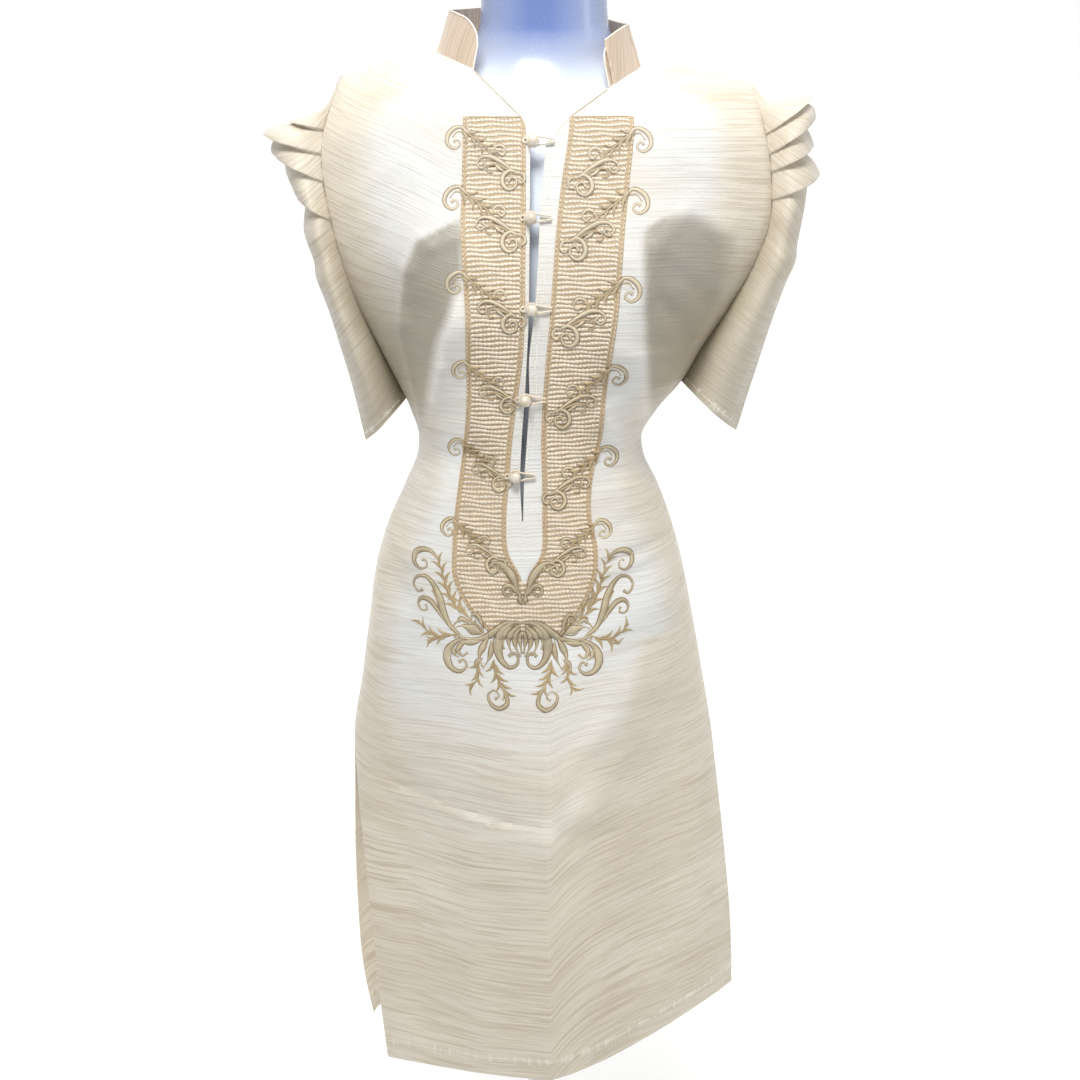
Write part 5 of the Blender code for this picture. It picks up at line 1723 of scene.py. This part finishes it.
def collar_path():
    """The seam of the collar, from its left front end round the back to its right one."""
    front = front_grid()[0][-1]
    place = places(0, FRONT_CUTS)
    corner = len(SIDE_SHARES) - 2
    right_corner = len(FRONT_CUTS) - len(RIGHT_SIDE_SHARES) + 1
    start, end = (
        [[np.interp(x, front[:, 0], front[:, axis]) for axis in range(3)]]
        for x in (COLLAR_END_LEFT_X, COLLAR_END_RIGHT_X)
    )
    left = front[(place > corner) & (front[:, 0] < COLLAR_END_LEFT_X)]
    right = front[(place < right_corner) & (front[:, 0] > COLLAR_END_RIGHT_X)]
    last = len(BACK_SHARES) - 1 - NECK_LINE
    round_back = back_grid()[-1][(back_places() >= NECK_LINE) & (back_places() <= last)]
    even = evenly(np.concatenate([start, left[::-1], round_back, right, end]), COLLAR_STEP)
    for _ in range(4):
        even[1:-1] = (even[:-2] + 2 * even[1:-1] + even[2:]) / 4
    return even


def collar_grid():
    """Points of the collar's outer side, leaning in, with rounded front corners."""
    path = collar_path()
    along = walked_along(path)
    from_end = np.minimum(along, along[-1] - along)
    corner = quarter_round(ramp(from_end, 0.0, COLLAR_CORNER))
    heights = COLLAR_FRONT_HEIGHT + (COLLAR_HEIGHT - COLLAR_FRONT_HEIGHT) * corner
    share = np.linspace(0.0, 1.0, COLLAR_ROWS)[:, None]
    lean = COLLAR_LEAN * heights * share * 0.65 / abs(path[0, 0])
    wave = COLLAR_WAVE * np.sin(along / 0.021) * np.sin(math.pi * share) * ramp(from_end, 0.0, 0.02)
    x = path[:, 0] - path[:, 0] * lean
    y = path[:, 1] - 0.25 * path[:, 1] * lean + wave * np.sign(path[:, 1])
    z = path[:, 2] + heights * share - COLLAR_SUNK
    return np.stack([x, y, z], axis=-1)


def build_collar():
    """The stand collar with its bright edge."""
    grid = collar_grid()
    streak = darker(colour_of("streak"), 0.9)
    cloth = streaked_cloth("collar_weave", colour_of("collar"), streak, 1.25, False)
    uv = np.stack([lengths_along(grid, 0), lengths_along(grid, 1)], axis=-1)
    normals = grid_normals(grid, (0.0, 1.0, 0.0))
    collar = cloth_shell("cloth_collar", grid, normals, COLLAR_CLOTH, cloth, uv)
    put(collar, "collar_cloth", "collar")
    edge = np.concatenate([grid[:, 0], grid[-1, 1:-1], grid[::-1, -1]])
    paths = Paths()
    paths.add(edge, (0.0, 0.0, 1.0), COLLAR_PIPING)
    white = thread_finish("edge_thread", (0.90, 0.86, 0.80), 2400.0)
    put(cords_along("collar_edge", paths, white), "collar_cloth")


def build_strips():
    """The plain strips down both sides of the opening."""
    level_z = levels((STRIP_END_Z, SLIT_END_Z, NECK_Z), PANEL_ROW_STEP)
    cuts = (("left", GAP_CELL - 1, (4,), 0.0030), ("right", GAP_CELL, (1, 5), 0.0068))
    for name, first, counts, area in cuts:
        place = places(first, counts)
        grid = front_points(place, level_z)
        keep = np.ones((len(level_z) - 1, len(place) - 1), bool)
        if name == "right":
            keep[middles(level_z) > SLIT_END_Z, 0] = False
        normals = grid_normals(grid, (0.0, -1.0, 0.0))
        uv = np.stack([lengths_along(grid, 1) + 7.0, grid[..., 2]], axis=-1)
        strip = cloth_shell(
            "strip_" + name, grid, normals, LAID_CLOTH, ivory_cloth(), uv, keep, LAID_TOP,
            (("behind", 1.0),),
        )
        put(strip, "ivory_cloth", "placket_" + name)


def build_panel():
    """The panel's own cloth and its rows of drawn-thread stitches."""
    level_z = levels((YOKE_END_Z, STRIP_END_Z, NECK_Z), ROW_STEP)
    place = places(PANEL_FIRST, FRONT_CUTS[PANEL_FIRST:PANEL_LAST])
    grid = front_points(place, level_z, PANEL_TOP_Z)
    cell = np.floor(middles(place))
    beside = (cell < GAP_CELL - 1) | (cell > GAP_CELL + 1)
    keep = (middles(level_z)[:, None] < STRIP_END_Z) | beside[None]
    normals = grid_normals(grid, (0.0, -1.0, 0.0))
    uv = np.stack([lengths_along(grid, 1) + 9.0, lengths_along(grid, 0)], axis=-1)
    cloth = streaked_cloth("panel_cloth", colour_of("panel"), BORDER_TAN, 0.8, False)
    panel = cloth_shell("panel_ground", grid, normals, LAID_CLOTH, cloth, uv, keep, LAID_TOP)
    put(panel, "embroidered_cream", "embroidered_panel")

    rows = Paths()
    heights = np.arange(YOKE_END_Z + 0.003, PANEL_TOP_Z - 0.002, BRAID_ROW)
    for index, z in enumerate(heights):
        lean = BRAID_LEAN if index % 2 else -BRAID_LEAN
        for start, end in panel_spans(z):
            x = np.linspace(start, end, max(3, round((end - start) / 0.004)))
            dip = BRAID_DIP * np.sin(x * BRAID_DIPS + index)
            lay_on(rows, x, z + dip, LAID_TOP + ROW_LIFT, 0.001, lean)
    braid = thread_finish("braid_thread", colour_of("braid"), 1800.0, spread=0.08)
    put(stitches_along("panel_braid", rows, braid), "embroidered_cream")


def panel_spans(z):
    """Where the panel lies across the front at one height."""
    lines = front_lines_x(np.array(z))
    left = (float(lines[PANEL_FIRST]) + PANEL_INSET, float(lines[GAP_CELL - 1]) - PANEL_INSET)
    right = (float(lines[GAP_CELL + 2]) + PANEL_INSET, float(lines[PANEL_LAST]) - PANEL_INSET)
    if z < STRIP_END_Z:
        return [(left[0], right[1])]
    neck = np.linspace(left[0], right[1], 400)
    under = neck[straight(FRONT_TOP, "z", neck) > z + 0.003]
    spans = []
    for start, end in (left, right):
        inside = under[(under >= start) & (under <= end)]
        if len(inside) > 12:
            spans.append((inside[0], inside[-1]))
    return spans


def lay_on(paths, x, z, lift, width, tilt=0.0):
    """One line laid on the front, lifted off it."""
    out = front_out(x, z)
    points = np.stack([x, front_y(x, z), z], axis=-1) + out * np.asarray(lift)[..., None]
    paths.add(points, out, width, tilt)


def lay_thread(paths, line, lift, width):
    """One thread laid on the front, higher where the embroidered panel lies under it."""
    x, z = line[:, 0], line[:, 1]
    lines = front_lines_x(z)
    inside = np.minimum(x - lines[PANEL_FIRST], lines[PANEL_LAST] - x)
    tall = np.minimum(z - YOKE_END_Z, PANEL_TOP_Z - z)
    over = soft_edge(np.minimum(inside, tall), PANEL_EDGE)
    lay_on(paths, x, z, lift + PANEL_LIFT * over, width)


def stroke(cords, outlines, points, ends, belly):
    """One satin-stitched stroke on the front, fullest before its middle."""
    line = through(points, STROKE_STEP)
    share = np.linspace(0.0, 1.0, len(line))
    from_end = (1.0 - share) * len(line) * STROKE_STEP
    width = ends + (belly - ends) * np.exp(-(((share - BELLY_PLACE) / BELLY_SPREAD) ** 2))
    width = width + 0.6 * ends * np.exp(-((from_end / 0.0016) ** 2))
    width = width * np.sqrt(np.clip(share * len(line) / 3.5 + 0.06, 0.0, 1.0))
    lay_thread(cords, line, 0.0005 - 0.32 * width, width)
    if belly < OUTLINED_BELLY:
        return
    # Dark outline threads on the outer side of the bend, and on both sides of the fullest strokes:
    # partly outline stitching, partly painted shade under the raised cords
    tangent = np.gradient(line, axis=0)
    tangent = tangent / np.linalg.norm(tangent, axis=1, keepdims=True)
    turned = tangent[:-1, 0] * tangent[1:, 1] - tangent[:-1, 1] * tangent[1:, 0]
    outward = np.stack([tangent[:, 1], -tangent[:, 0]], axis=-1) * np.sign(turned.sum())
    for side in (1, -1) if belly >= BOTH_SIDES_BELLY else (1,):
        edge = line + side * outward * width[:, None] * 0.46
        lay_thread(outlines, edge, 0.0, np.minimum(width * 0.45, OUTLINE_MOST))


def leaves(cords, outlines, points, leaf, pairs):
    """Pairs of small pointed leaves along a stem."""
    line = through(points, STROKE_STEP)
    for k in range(pairs * 2):
        share = (k // 2 + 0.30 + 0.40 * (k % 2)) / pairs
        at = min(int(share * (len(line) - 1)), len(line) - 2)
        along = line[at + 1] - line[at]
        along = along / np.linalg.norm(along)
        across = np.array([-along[1], along[0]]) * (1.0 if k % 2 else -1.0)
        size = leaf * (1.12 - 0.30 * share)
        tip = along * 0.78 + across * 0.66
        bend = along * 0.48 + across * 0.24
        body = through([line[at] + way * size for way in (0.10 * across, bend, tip)], LEAF_STEP)
        width = LEAF_WIDTH * size * np.sin(math.pi * np.linspace(0.03, 0.99, len(body)) ** 0.85)
        lay_thread(cords, body, 0.0004 - 0.30 * width, width)
        # A dark edge thread along one side of each leaf, partly painted shade
        lay_thread(outlines, body - across * width[:, None] * 0.42, 0.0, LEAF_EDGE)


def draw(cords, stems, outlines, table, origin, step, mirror, fullness):
    """Every stroke of a table, placed, scaled and mirrored."""
    for ends, belly, leaf, pairs, points in table[1:]:
        placed = [(origin[0] + mirror * s * step, origin[1] + t * step) for s, t in points]
        target = stems if belly < FILLED_BELLY else cords
        stroke(target, outlines, placed, ends * step, belly * step * fullness)
        if pairs:
            leaves(stems, outlines, placed, leaf * step * LEAF_FULLNESS, pairs)


def build_embroidery():
    """The satin-stitched sprays on the panels and the large ornament below them."""
    satin = thread_finish("satin_cord", colour_of("cord"), 5200.0, 0.5, 0.16)
    brown = thread_finish("outline_thread", colour_of("outline"), 3000.0, 0.2, 0.10, 0.20)
    tan = thread_finish("stem_thread", colour_of("stem"), 4200.0, 0.4, 0.16, 0.20)
    deep = thread_finish("ornament_cord", darker(colour_of("cord"), 0.80), 5200.0, 0.5, 0.20)
    stems = Paths()
    outlines = Paths()
    pieces = []
    for side, word in ((-1, "left"), (1, "right")):
        cords = Paths()
        for spray_side, x, z, width in SPRAYS[1:]:
            if spray_side == side:
                step = 0.001 * width / SPRAY_WIDTH
                draw(cords, stems, outlines, SPRAY, (x, z), step, -side, SPRAY_FULLNESS)
        pieces.append(cords_along("sprays_" + word, cords, satin))
    cords = Paths()
    for mirror in (-1, 1):
        origin = (ORNAMENT_X, ORNAMENT_Z)
        draw(cords, stems, outlines, ORNAMENT, origin, ORNAMENT_STEP, mirror, ORNAMENT_FULLNESS)
    pieces.append(cords_along("large_ornament", cords, deep))
    pieces.append(cords_along("stems_and_leaves", stems, tan))
    pieces.append(cords_along("embroidery_outlines", outlines, brown, 6))
    for piece in pieces:
        put(piece, "embroidered_cream")


def build_borders():
    """The herringbone borders round the embroidered panel, and the bound neckline."""
    lift = LAID_TOP + BORDER_LIFT
    paths = Paths()
    for line, low, inset in BORDERS[1:]:
        top = min(PANEL_TOP_Z, border_top(line)) - 0.001
        z = np.arange(low + 0.004, top, 0.003)
        for row in (-1, 1):
            x = front_line_x(float(line), z) + inset + row * BORDER_SPREAD
            lay_on(paths, x, z, lift, 0.001, row * BORDER_LEAN)
    for z, above in ((YOKE_END_Z + 0.0018, 0.0), (PANEL_TOP_Z - 0.0015, 0.003)):
        for start, end in panel_spans(z - above):
            x = np.linspace(start, end, 24)
            for row in (-1, 1):
                level = np.full(24, z + row * CROSS_SPREAD)
                lay_on(paths, x, level, lift, 0.001, row * BORDER_LEAN)
    tan = thread_finish("border_thread", colour_of("border"), 2600.0)
    put(stitches_along("panel_borders", paths, tan), "embroidered_cream")
    edging = Paths()
    for start, end in NECK_EDGES:
        x = np.linspace(start, end, 40)
        lay_on(edging, x, straight(FRONT_TOP, "z", x) - 0.0009, 0.0004, 0.0014)
    bound = thread_finish("neck_thread", NECK_TAN, 2600.0)
    put(cords_along("neck_edging", edging, bound), "embroidered_cream")


def border_top(line):
    """The height where a line down the front meets the neckline."""
    return float(top_edge(FRONT_TOP, "z", front_line_x, float(line)))


def hem_stitches(paths, grid, outward, fold, lines):
    """A line of stitches at an even height above the first row of a grid."""
    out = grid_normals(grid, outward)
    up = lengths_along(grid, 0)
    rows = [np.interp(fold, up[:, k], range(len(up))) for k in lines]
    points = np.array([at_row(grid, row, k) for k, row in zip(lines, rows)])
    outs = np.array([at_row(out, row, k) for k, row in zip(lines, rows)])
    paths.add(points + outs * 0.0002, outs, 0.001)


def build_stitching():
    """Hem, sleeve, neck and opening stitches."""
    paths = Paths()
    for grid, outward in ((front_grid()[0], (0.0, -1.0, 0.0)), (back_grid(), (0.0, 1.0, 0.0))):
        hem_stitches(paths, grid, outward, HEM_FOLD, range(grid.shape[1]))
    for table, side in ((SLEEVE_LEFT, -1), (SLEEVE_RIGHT, 1)):
        grid = sleeve_grid(table, side)[::-1]
        lines = range(2, grid.shape[1] - 2)
        hem_stitches(paths, grid, (side, 0.0, 0.0), SLEEVE_HEM_FOLD, lines)
    for line, inset, low in SEAM_LINES[1:]:
        z = np.arange(low, border_top(line) - 0.004, 0.004)
        lay_on(paths, front_line_x(float(line), z) + inset, z, 0.0010, 0.001)
    for start, end in NECK_EDGES:
        x = np.linspace(start, end, 24)
        lay_on(paths, x, straight(FRONT_TOP, "z", x) - 0.0045, 0.0002, 0.001)
    white = thread_finish("hem_thread", THREAD_AND_HIGHLIGHT_WHITE, 2600.0, spread=0.06)
    pitch = settings().stitch_pitch
    put(stitches_along("dress_stitching", paths, white, Pitch=pitch), "ivory_cloth")


def at_row(grid, row, line):
    """A point between two rows of a grid."""
    low = min(int(row), grid.shape[0] - 2)
    return grid[low, line] + (grid[low + 1, line] - grid[low, line]) * (row - low)


def build_buttons():
    """Pearl buttons in their cord loops."""
    pearl = pearl_finish()
    cord = thread_finish("loop_cord", (0.80, 0.70, 0.56), 3800.0, 0.4, 0.08)
    turns = np.linspace(0.28 * math.pi, 1.72 * math.pi, 30)
    for index, (x, z) in enumerate(BUTTONS[1:]):
        low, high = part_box(f"button_{index + 1}")
        ball = pearl_ball(f"pearl_{index + 1}", (low + high) / 2, (high.x - low.x) / 2, pearl)
        put(ball, "pearl", f"button_{index + 1}")
        low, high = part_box(f"loop_{index + 1}")
        bend = [(x + BUTTON_RADIUS * math.cos(t), z + BUTTON_RADIUS * math.sin(t)) for t in turns]
        legs = [(x + LOOP_REACH, z + LOOP_LEG), (x + LOOP_REACH, z - LOOP_LEG)]
        line = through(legs[:1] + bend + legs[1:], 0.0007)
        knot = through([(x + across, z + up) for across, up in KNOT[1:]], 0.0007)
        paths = Paths()
        for flat, y, width in (
            (line, np.full(len(line), (low.y + high.y) / 2), LOOP_CORD),
            (knot, front_y(knot[:, 0], knot[:, 1]) - KNOT_CORD, KNOT_CORD),
        ):
            points = np.stack([flat[:, 0], y, flat[:, 1]], axis=-1)
            paths.add(points, (0.0, -1.0, 0.0), width)
        loop = cords_along(f"cord_loop_{index + 1}", paths, cord)
        put(loop, "embroidered_cream", f"loop_{index + 1}")


def pearl_ball(name, centre, radius, finish):
    """A round pearl with a small dimple where its thread goes in."""
    points = [(centre.x, centre.y, centre.z + radius)]
    for ring in range(1, PEARL_RINGS):
        fall = math.pi * ring / PEARL_RINGS
        swell = radius * (1.0 - PEARL_DIMPLE * math.cos(3 * fall))
        for side in range(PEARL_SIDES):
            turn = 2 * math.pi * side / PEARL_SIDES
            way = (math.sin(fall) * math.cos(turn), math.sin(fall) * math.sin(turn), math.cos(fall))
            points.append(tuple(centre + swell * Vector(way)))
    points.append((centre.x, centre.y, centre.z - radius))
    body = ring_faces(PEARL_RINGS - 1, PEARL_SIDES)[1:-1]
    faces = [tuple(1 + corner for corner in face[::-1]) for face in body]
    last = len(points) - 1 - PEARL_SIDES
    for side in range(PEARL_SIDES):
        after = (side + 1) % PEARL_SIDES
        faces.append((0, 1 + side, 1 + after))
        faces.append((last + side, len(points) - 1, last + after))
    return mesh_object(name, points, faces, finish)


def lathe(name, profile, sides, finish):
    """A closed turned body from rings of radius and height, bottom first."""
    turn = 2 * math.pi * np.arange(sides) / sides
    points = [
        (radius * math.cos(angle), radius * math.sin(angle), z)
        for radius, z in profile
        for angle in turn
    ]
    return mesh_object(name, points, ring_faces(len(profile), sides), finish, sharp=35.0)


def ring_faces(rings, sides):
    """Faces between stacked rings, with a flat cap at each end."""
    faces = [tuple(range(sides - 1, -1, -1))]
    for ring in range(rings - 1):
        here = ring * sides
        there = here + sides
        for side in range(sides):
            after = (side + 1) % sides
            faces.append((here + side, here + after, there + after, there + side))
    faces.append(tuple(range((rings - 1) * sides, rings * sides)))
    return faces


def build_form():
    """The smooth torso, its pole and its round base."""
    plastic = form_finish(colour_of("form"))
    steel = steel_finish()
    keys, mid_x, half_width, front, back = (column(FORM, name)[::-1] for name in FORM[0])
    low, high = keys[0], keys[-1]
    z = np.concatenate([
        np.linspace(low, low + FORM_FOOT, 5),
        np.arange(low + 0.010, high - 0.004, 0.005),
        np.linspace(high - FORM_NECK, high, 5),
    ])
    foot = quarter_round(ramp(z - low, 0.0, FORM_FOOT))
    neck = quarter_round(ramp(high - z, 0.0, FORM_NECK))
    shrink = 1.0 - FORM_END_SHRINK * (2.0 - foot - neck)
    turn = 2 * math.pi * np.arange(FORM_SIDES) / FORM_SIDES
    wide = np.abs(np.cos(turn)) ** (2 / FORM_SQUARE) * np.sign(np.cos(turn))
    deep = np.abs(np.sin(turn)) ** (2 / FORM_SQUARE)
    is_back = np.sin(turn) > 0
    depth = np.where(is_back, eased(keys, back, z)[:, None], eased(keys, front, z)[:, None])
    x = eased(keys, mid_x, z)[:, None] + (eased(keys, half_width, z) * shrink)[:, None] * wide
    y = deep * depth * shrink[:, None]
    rings = np.stack([x, y, np.broadcast_to(z[:, None] + FORM_LIFT, x.shape)], axis=-1)
    faces = ring_faces(len(z), FORM_SIDES)
    torso = mesh_object("torso", rings.reshape(-1, 3).tolist(), faces, plastic, sharp=60.0)
    put(torso, "form_plastic", "dress_form")

    foot_z = low + FORM_LIFT - SEAM_GAP
    pole = (
        (POLE_RADIUS, BASE_HEIGHT + SEAM_GAP),
        (POLE_RADIUS, foot_z - BASE_BEVEL),
        (POLE_RADIUS - BASE_BEVEL, foot_z),
    )
    put(lathe("pole", pole, 64, steel), "stand_steel", "stand_pole")
    ferrule = [(radius, BASE_HEIGHT + above) for radius, above in FERRULE[1:]]
    put(lathe("pole_ferrule", ferrule, 64, steel), "stand_steel")
    curve = [
        (BASE_RADIUS - BASE_EDGE * (1 - math.cos(a)), BASE_HEIGHT - BASE_EDGE * (1 - math.sin(a)))
        for a in np.linspace(0.0, math.pi / 2, 8)
    ]
    base = [(BASE_RADIUS - BASE_BEVEL, 0.0), (BASE_RADIUS, BASE_BEVEL)] + curve
    put(lathe("base", base, 128, steel), "stand_steel", "stand_base")


def area_lamp(name, place, aim, size, power, spread, colour):
    """A soft rectangular lamp, turned to face a point."""
    data = bpy.data.lights.new(name, "AREA")
    data.shape = "RECTANGLE"
    data.size, data.size_y = size
    data.energy = power
    data.spread = math.radians(spread)
    data.color = colour
    lamp = bpy.data.objects.new(name, data)
    lamp.location = place
    facing = Vector(aim) - Vector(place)
    lamp.rotation_euler = facing.to_track_quat("-Z", "Y").to_euler()
    bpy.context.scene.collection.objects.link(lamp)


def backdrop(finish):
    """The studio floor, which curves up into a plain wall behind."""
    start = BACKDROP_Y - BACKDROP_BEND
    bend = [
        (start + BACKDROP_BEND * math.sin(a), BACKDROP_BEND * (1 - math.cos(a)))
        for a in np.linspace(0.0, math.pi / 2, 17)
    ]
    profile = [(-BACKDROP_REACH, 0.0)] + bend + [(BACKDROP_Y, BACKDROP_TOP)]
    points = [(x, y, z) for y, z in profile for x in (-BACKDROP_REACH, BACKDROP_REACH)]
    faces = [(2 * k, 2 * k + 1, 2 * k + 3, 2 * k + 2) for k in range(len(profile) - 1)]
    return mesh_object("floor", points, faces, finish, sharp=60.0)


def build_studio():
    """The pale floor, the soft light and the camera."""
    chosen = settings()
    scene = bpy.context.scene
    backdrop(floor_finish(colour_of("floor")))
    world = bpy.data.worlds.new("studio")
    world.use_nodes = True
    sky = world.node_tree.nodes["Background"]
    sky.inputs["Color"].default_value = (1.0, 1.0, 1.0, 1.0)
    sky.inputs["Strength"].default_value = chosen.sky_strength
    scene.world = world
    for name, place, aim, size, power, spread, colour in LAMPS[1:]:
        area_lamp(name, place, aim, size, power * chosen.lamp_power, spread, colour)
    scene.view_settings.view_transform = "Standard"
    camera = bpy.data.cameras.new("photo_camera")
    camera.sensor_width = CAMERA_SENSOR
    camera.lens = CAMERA_LENS
    camera.clip_end = 60.0
    eye = bpy.data.objects.new("photo_camera", camera)
    eye.location = CAMERA_PLACE
    eye.rotation_euler = (math.radians(90.0 - CAMERA_TILT), 0.0, 0.0)
    scene.collection.objects.link(eye)
    scene.camera = eye


def colour_choice(name, words, default):
    """A colour that the user may change."""
    return FloatVectorProperty(
        name=name, description=words, default=default, size=3, subtype="COLOR", min=0.0, max=1.0
    )


class TunicDressSettings(bpy.types.PropertyGroup):
    """Sizes and colours of the dress and its studio."""

    cloth_thickness: FloatProperty(
        name="Cloth thickness", description="Thickness of the dress cloth", default=0.0008,
        min=0.0002, max=0.003, unit="LENGTH",
    )
    stitch_pitch: FloatProperty(
        name="Stitch pitch", description="Distance from one seam stitch to the next",
        default=0.0031, min=0.001, max=0.01, unit="LENGTH",
    )
    streak_strength: FloatProperty(
        name="Streak strength", description="How strongly the coloured weft threads show",
        default=0.85, min=0.0, max=3.0, subtype="FACTOR",
    )
    cloth_colour: colour_choice("Cloth", "Ground colour of the dress cloth", IVORY)
    streak_colour: colour_choice("Streaks", "Colour of the uneven weft threads", STREAK)
    collar_colour: colour_choice("Collar", "Ground colour of the collar", COLLAR_TAN)
    panel_colour: colour_choice("Panel", "Ground colour of the embroidered panel", PANEL_CREAM)
    braid_colour: colour_choice("Rows", "Thread of the panel's stitched rows", BRAID_CREAM)
    border_colour: colour_choice("Borders", "Thread of the panel's borders", BORDER_TAN)
    cord_colour: colour_choice("Embroidery", "Thread of the sprays and ornament", CORD_KHAKI)
    stem_colour: colour_choice("Stems", "Thread of the stems and leaves", STEM_TAN)
    outline_colour: colour_choice("Outlines", "Thread along the thick strokes", OUTLINE_AND_SHADE_BROWN)
    form_colour: colour_choice("Form", "Colour of the dress form", FORM_LIT_WHITE)
    floor_colour: colour_choice("Floor", "Colour of the studio floor", (0.97, 0.97, 0.965))
    lamp_power: FloatProperty(
        name="Lamp power", description="Brightness of the studio lamps", default=1.0,
        min=0.0, max=10.0, subtype="FACTOR",
    )
    sky_strength: FloatProperty(
        name="Surround", description="Brightness of the plain surround", default=0.41,
        min=0.0, max=5.0, subtype="FACTOR",
    )


class DRESS_OT_body(bpy.types.Operator):
    """Adds the front and back cloth."""

    bl_idname = "dress.body"
    bl_label = "Front and back"
    bl_options = {"REGISTER", "UNDO"}

    def execute(self, context):
        build_body()
        return {"FINISHED"}


class DRESS_OT_sleeves(bpy.types.Operator):
    """Adds both pleated sleeves."""

    bl_idname = "dress.sleeves"
    bl_label = "Sleeves"
    bl_options = {"REGISTER", "UNDO"}

    def execute(self, context):
        build_sleeves()
        return {"FINISHED"}


class DRESS_OT_collar(bpy.types.Operator):
    """Adds the stand collar and its bright edge."""

    bl_idname = "dress.collar"
    bl_label = "Collar"
    bl_options = {"REGISTER", "UNDO"}

    def execute(self, context):
        build_collar()
        return {"FINISHED"}


class DRESS_OT_strips(bpy.types.Operator):
    """Adds the plain strips at the opening."""

    bl_idname = "dress.strips"
    bl_label = "Opening strips"
    bl_options = {"REGISTER", "UNDO"}

    def execute(self, context):
        build_strips()
        return {"FINISHED"}


class DRESS_OT_panel(bpy.types.Operator):
    """Adds the embroidered panel and its stitched rows."""

    bl_idname = "dress.panel"
    bl_label = "Stitched panel"
    bl_options = {"REGISTER", "UNDO"}

    def execute(self, context):
        build_panel()
        return {"FINISHED"}


class DRESS_OT_borders(bpy.types.Operator):
    """Adds the herringbone borders of the panel."""

    bl_idname = "dress.borders"
    bl_label = "Panel borders"
    bl_options = {"REGISTER", "UNDO"}

    def execute(self, context):
        build_borders()
        return {"FINISHED"}


class DRESS_OT_embroidery(bpy.types.Operator):
    """Adds the sprays and the large ornament."""

    bl_idname = "dress.embroidery"
    bl_label = "Embroidery"
    bl_options = {"REGISTER", "UNDO"}

    def execute(self, context):
        build_embroidery()
        return {"FINISHED"}


class DRESS_OT_stitching(bpy.types.Operator):
    """Adds the hem and seam stitches."""

    bl_idname = "dress.stitching"
    bl_label = "Seam stitching"
    bl_options = {"REGISTER", "UNDO"}

    def execute(self, context):
        build_stitching()
        return {"FINISHED"}


class DRESS_OT_buttons(bpy.types.Operator):
    """Adds the pearl buttons and their loops."""

    bl_idname = "dress.buttons"
    bl_label = "Pearls and loops"
    bl_options = {"REGISTER", "UNDO"}

    def execute(self, context):
        build_buttons()
        return {"FINISHED"}


class DRESS_OT_form(bpy.types.Operator):
    """Adds the dress form, its pole and its base."""

    bl_idname = "dress.form"
    bl_label = "Form and stand"
    bl_options = {"REGISTER", "UNDO"}

    def execute(self, context):
        build_form()
        return {"FINISHED"}


class DRESS_OT_studio(bpy.types.Operator):
    """Adds the floor, the light and the camera."""

    bl_idname = "dress.studio"
    bl_label = "Studio"
    bl_options = {"REGISTER", "UNDO"}

    def execute(self, context):
        build_studio()
        return {"FINISHED"}


OPERATORS = (
    DRESS_OT_body,
    DRESS_OT_sleeves,
    DRESS_OT_collar,
    DRESS_OT_strips,
    DRESS_OT_panel,
    DRESS_OT_borders,
    DRESS_OT_embroidery,
    DRESS_OT_stitching,
    DRESS_OT_buttons,
    DRESS_OT_form,
    DRESS_OT_studio,
)


class DRESS_PT_pieces(bpy.types.Panel):
    """The dress's pieces and their settings."""

    bl_idname = "DRESS_PT_pieces"
    bl_label = "Tunic dress"
    bl_space_type = "VIEW_3D"
    bl_region_type = "UI"
    bl_category = "Dress"

    def draw(self, context):
        column_of = self.layout.column(align=True)
        for chosen in OPERATORS:
            column_of.operator(chosen.bl_idname)
        for name in TunicDressSettings.__annotations__:
            self.layout.prop(context.scene.tunic_dress, name)


CLASSES = (TunicDressSettings, *OPERATORS, DRESS_PT_pieces)


def register():
    """Adds the settings, the operators and the panel."""
    for each in CLASSES:
        bpy.utils.register_class(each)
    bpy.types.Scene.tunic_dress = bpy.props.PointerProperty(type=TunicDressSettings)


def unregister():
    """Takes them away again."""
    del bpy.types.Scene.tunic_dress
    for each in reversed(CLASSES):
        bpy.utils.unregister_class(each)


def main():
    """Builds every piece in order."""
    register()
    for chosen in OPERATORS:
        group, _, name = chosen.bl_idname.partition(".")
        getattr(getattr(bpy.ops, group), name)()
    bpy.context.view_layer.update()


if __name__ == "__main__":
    main()
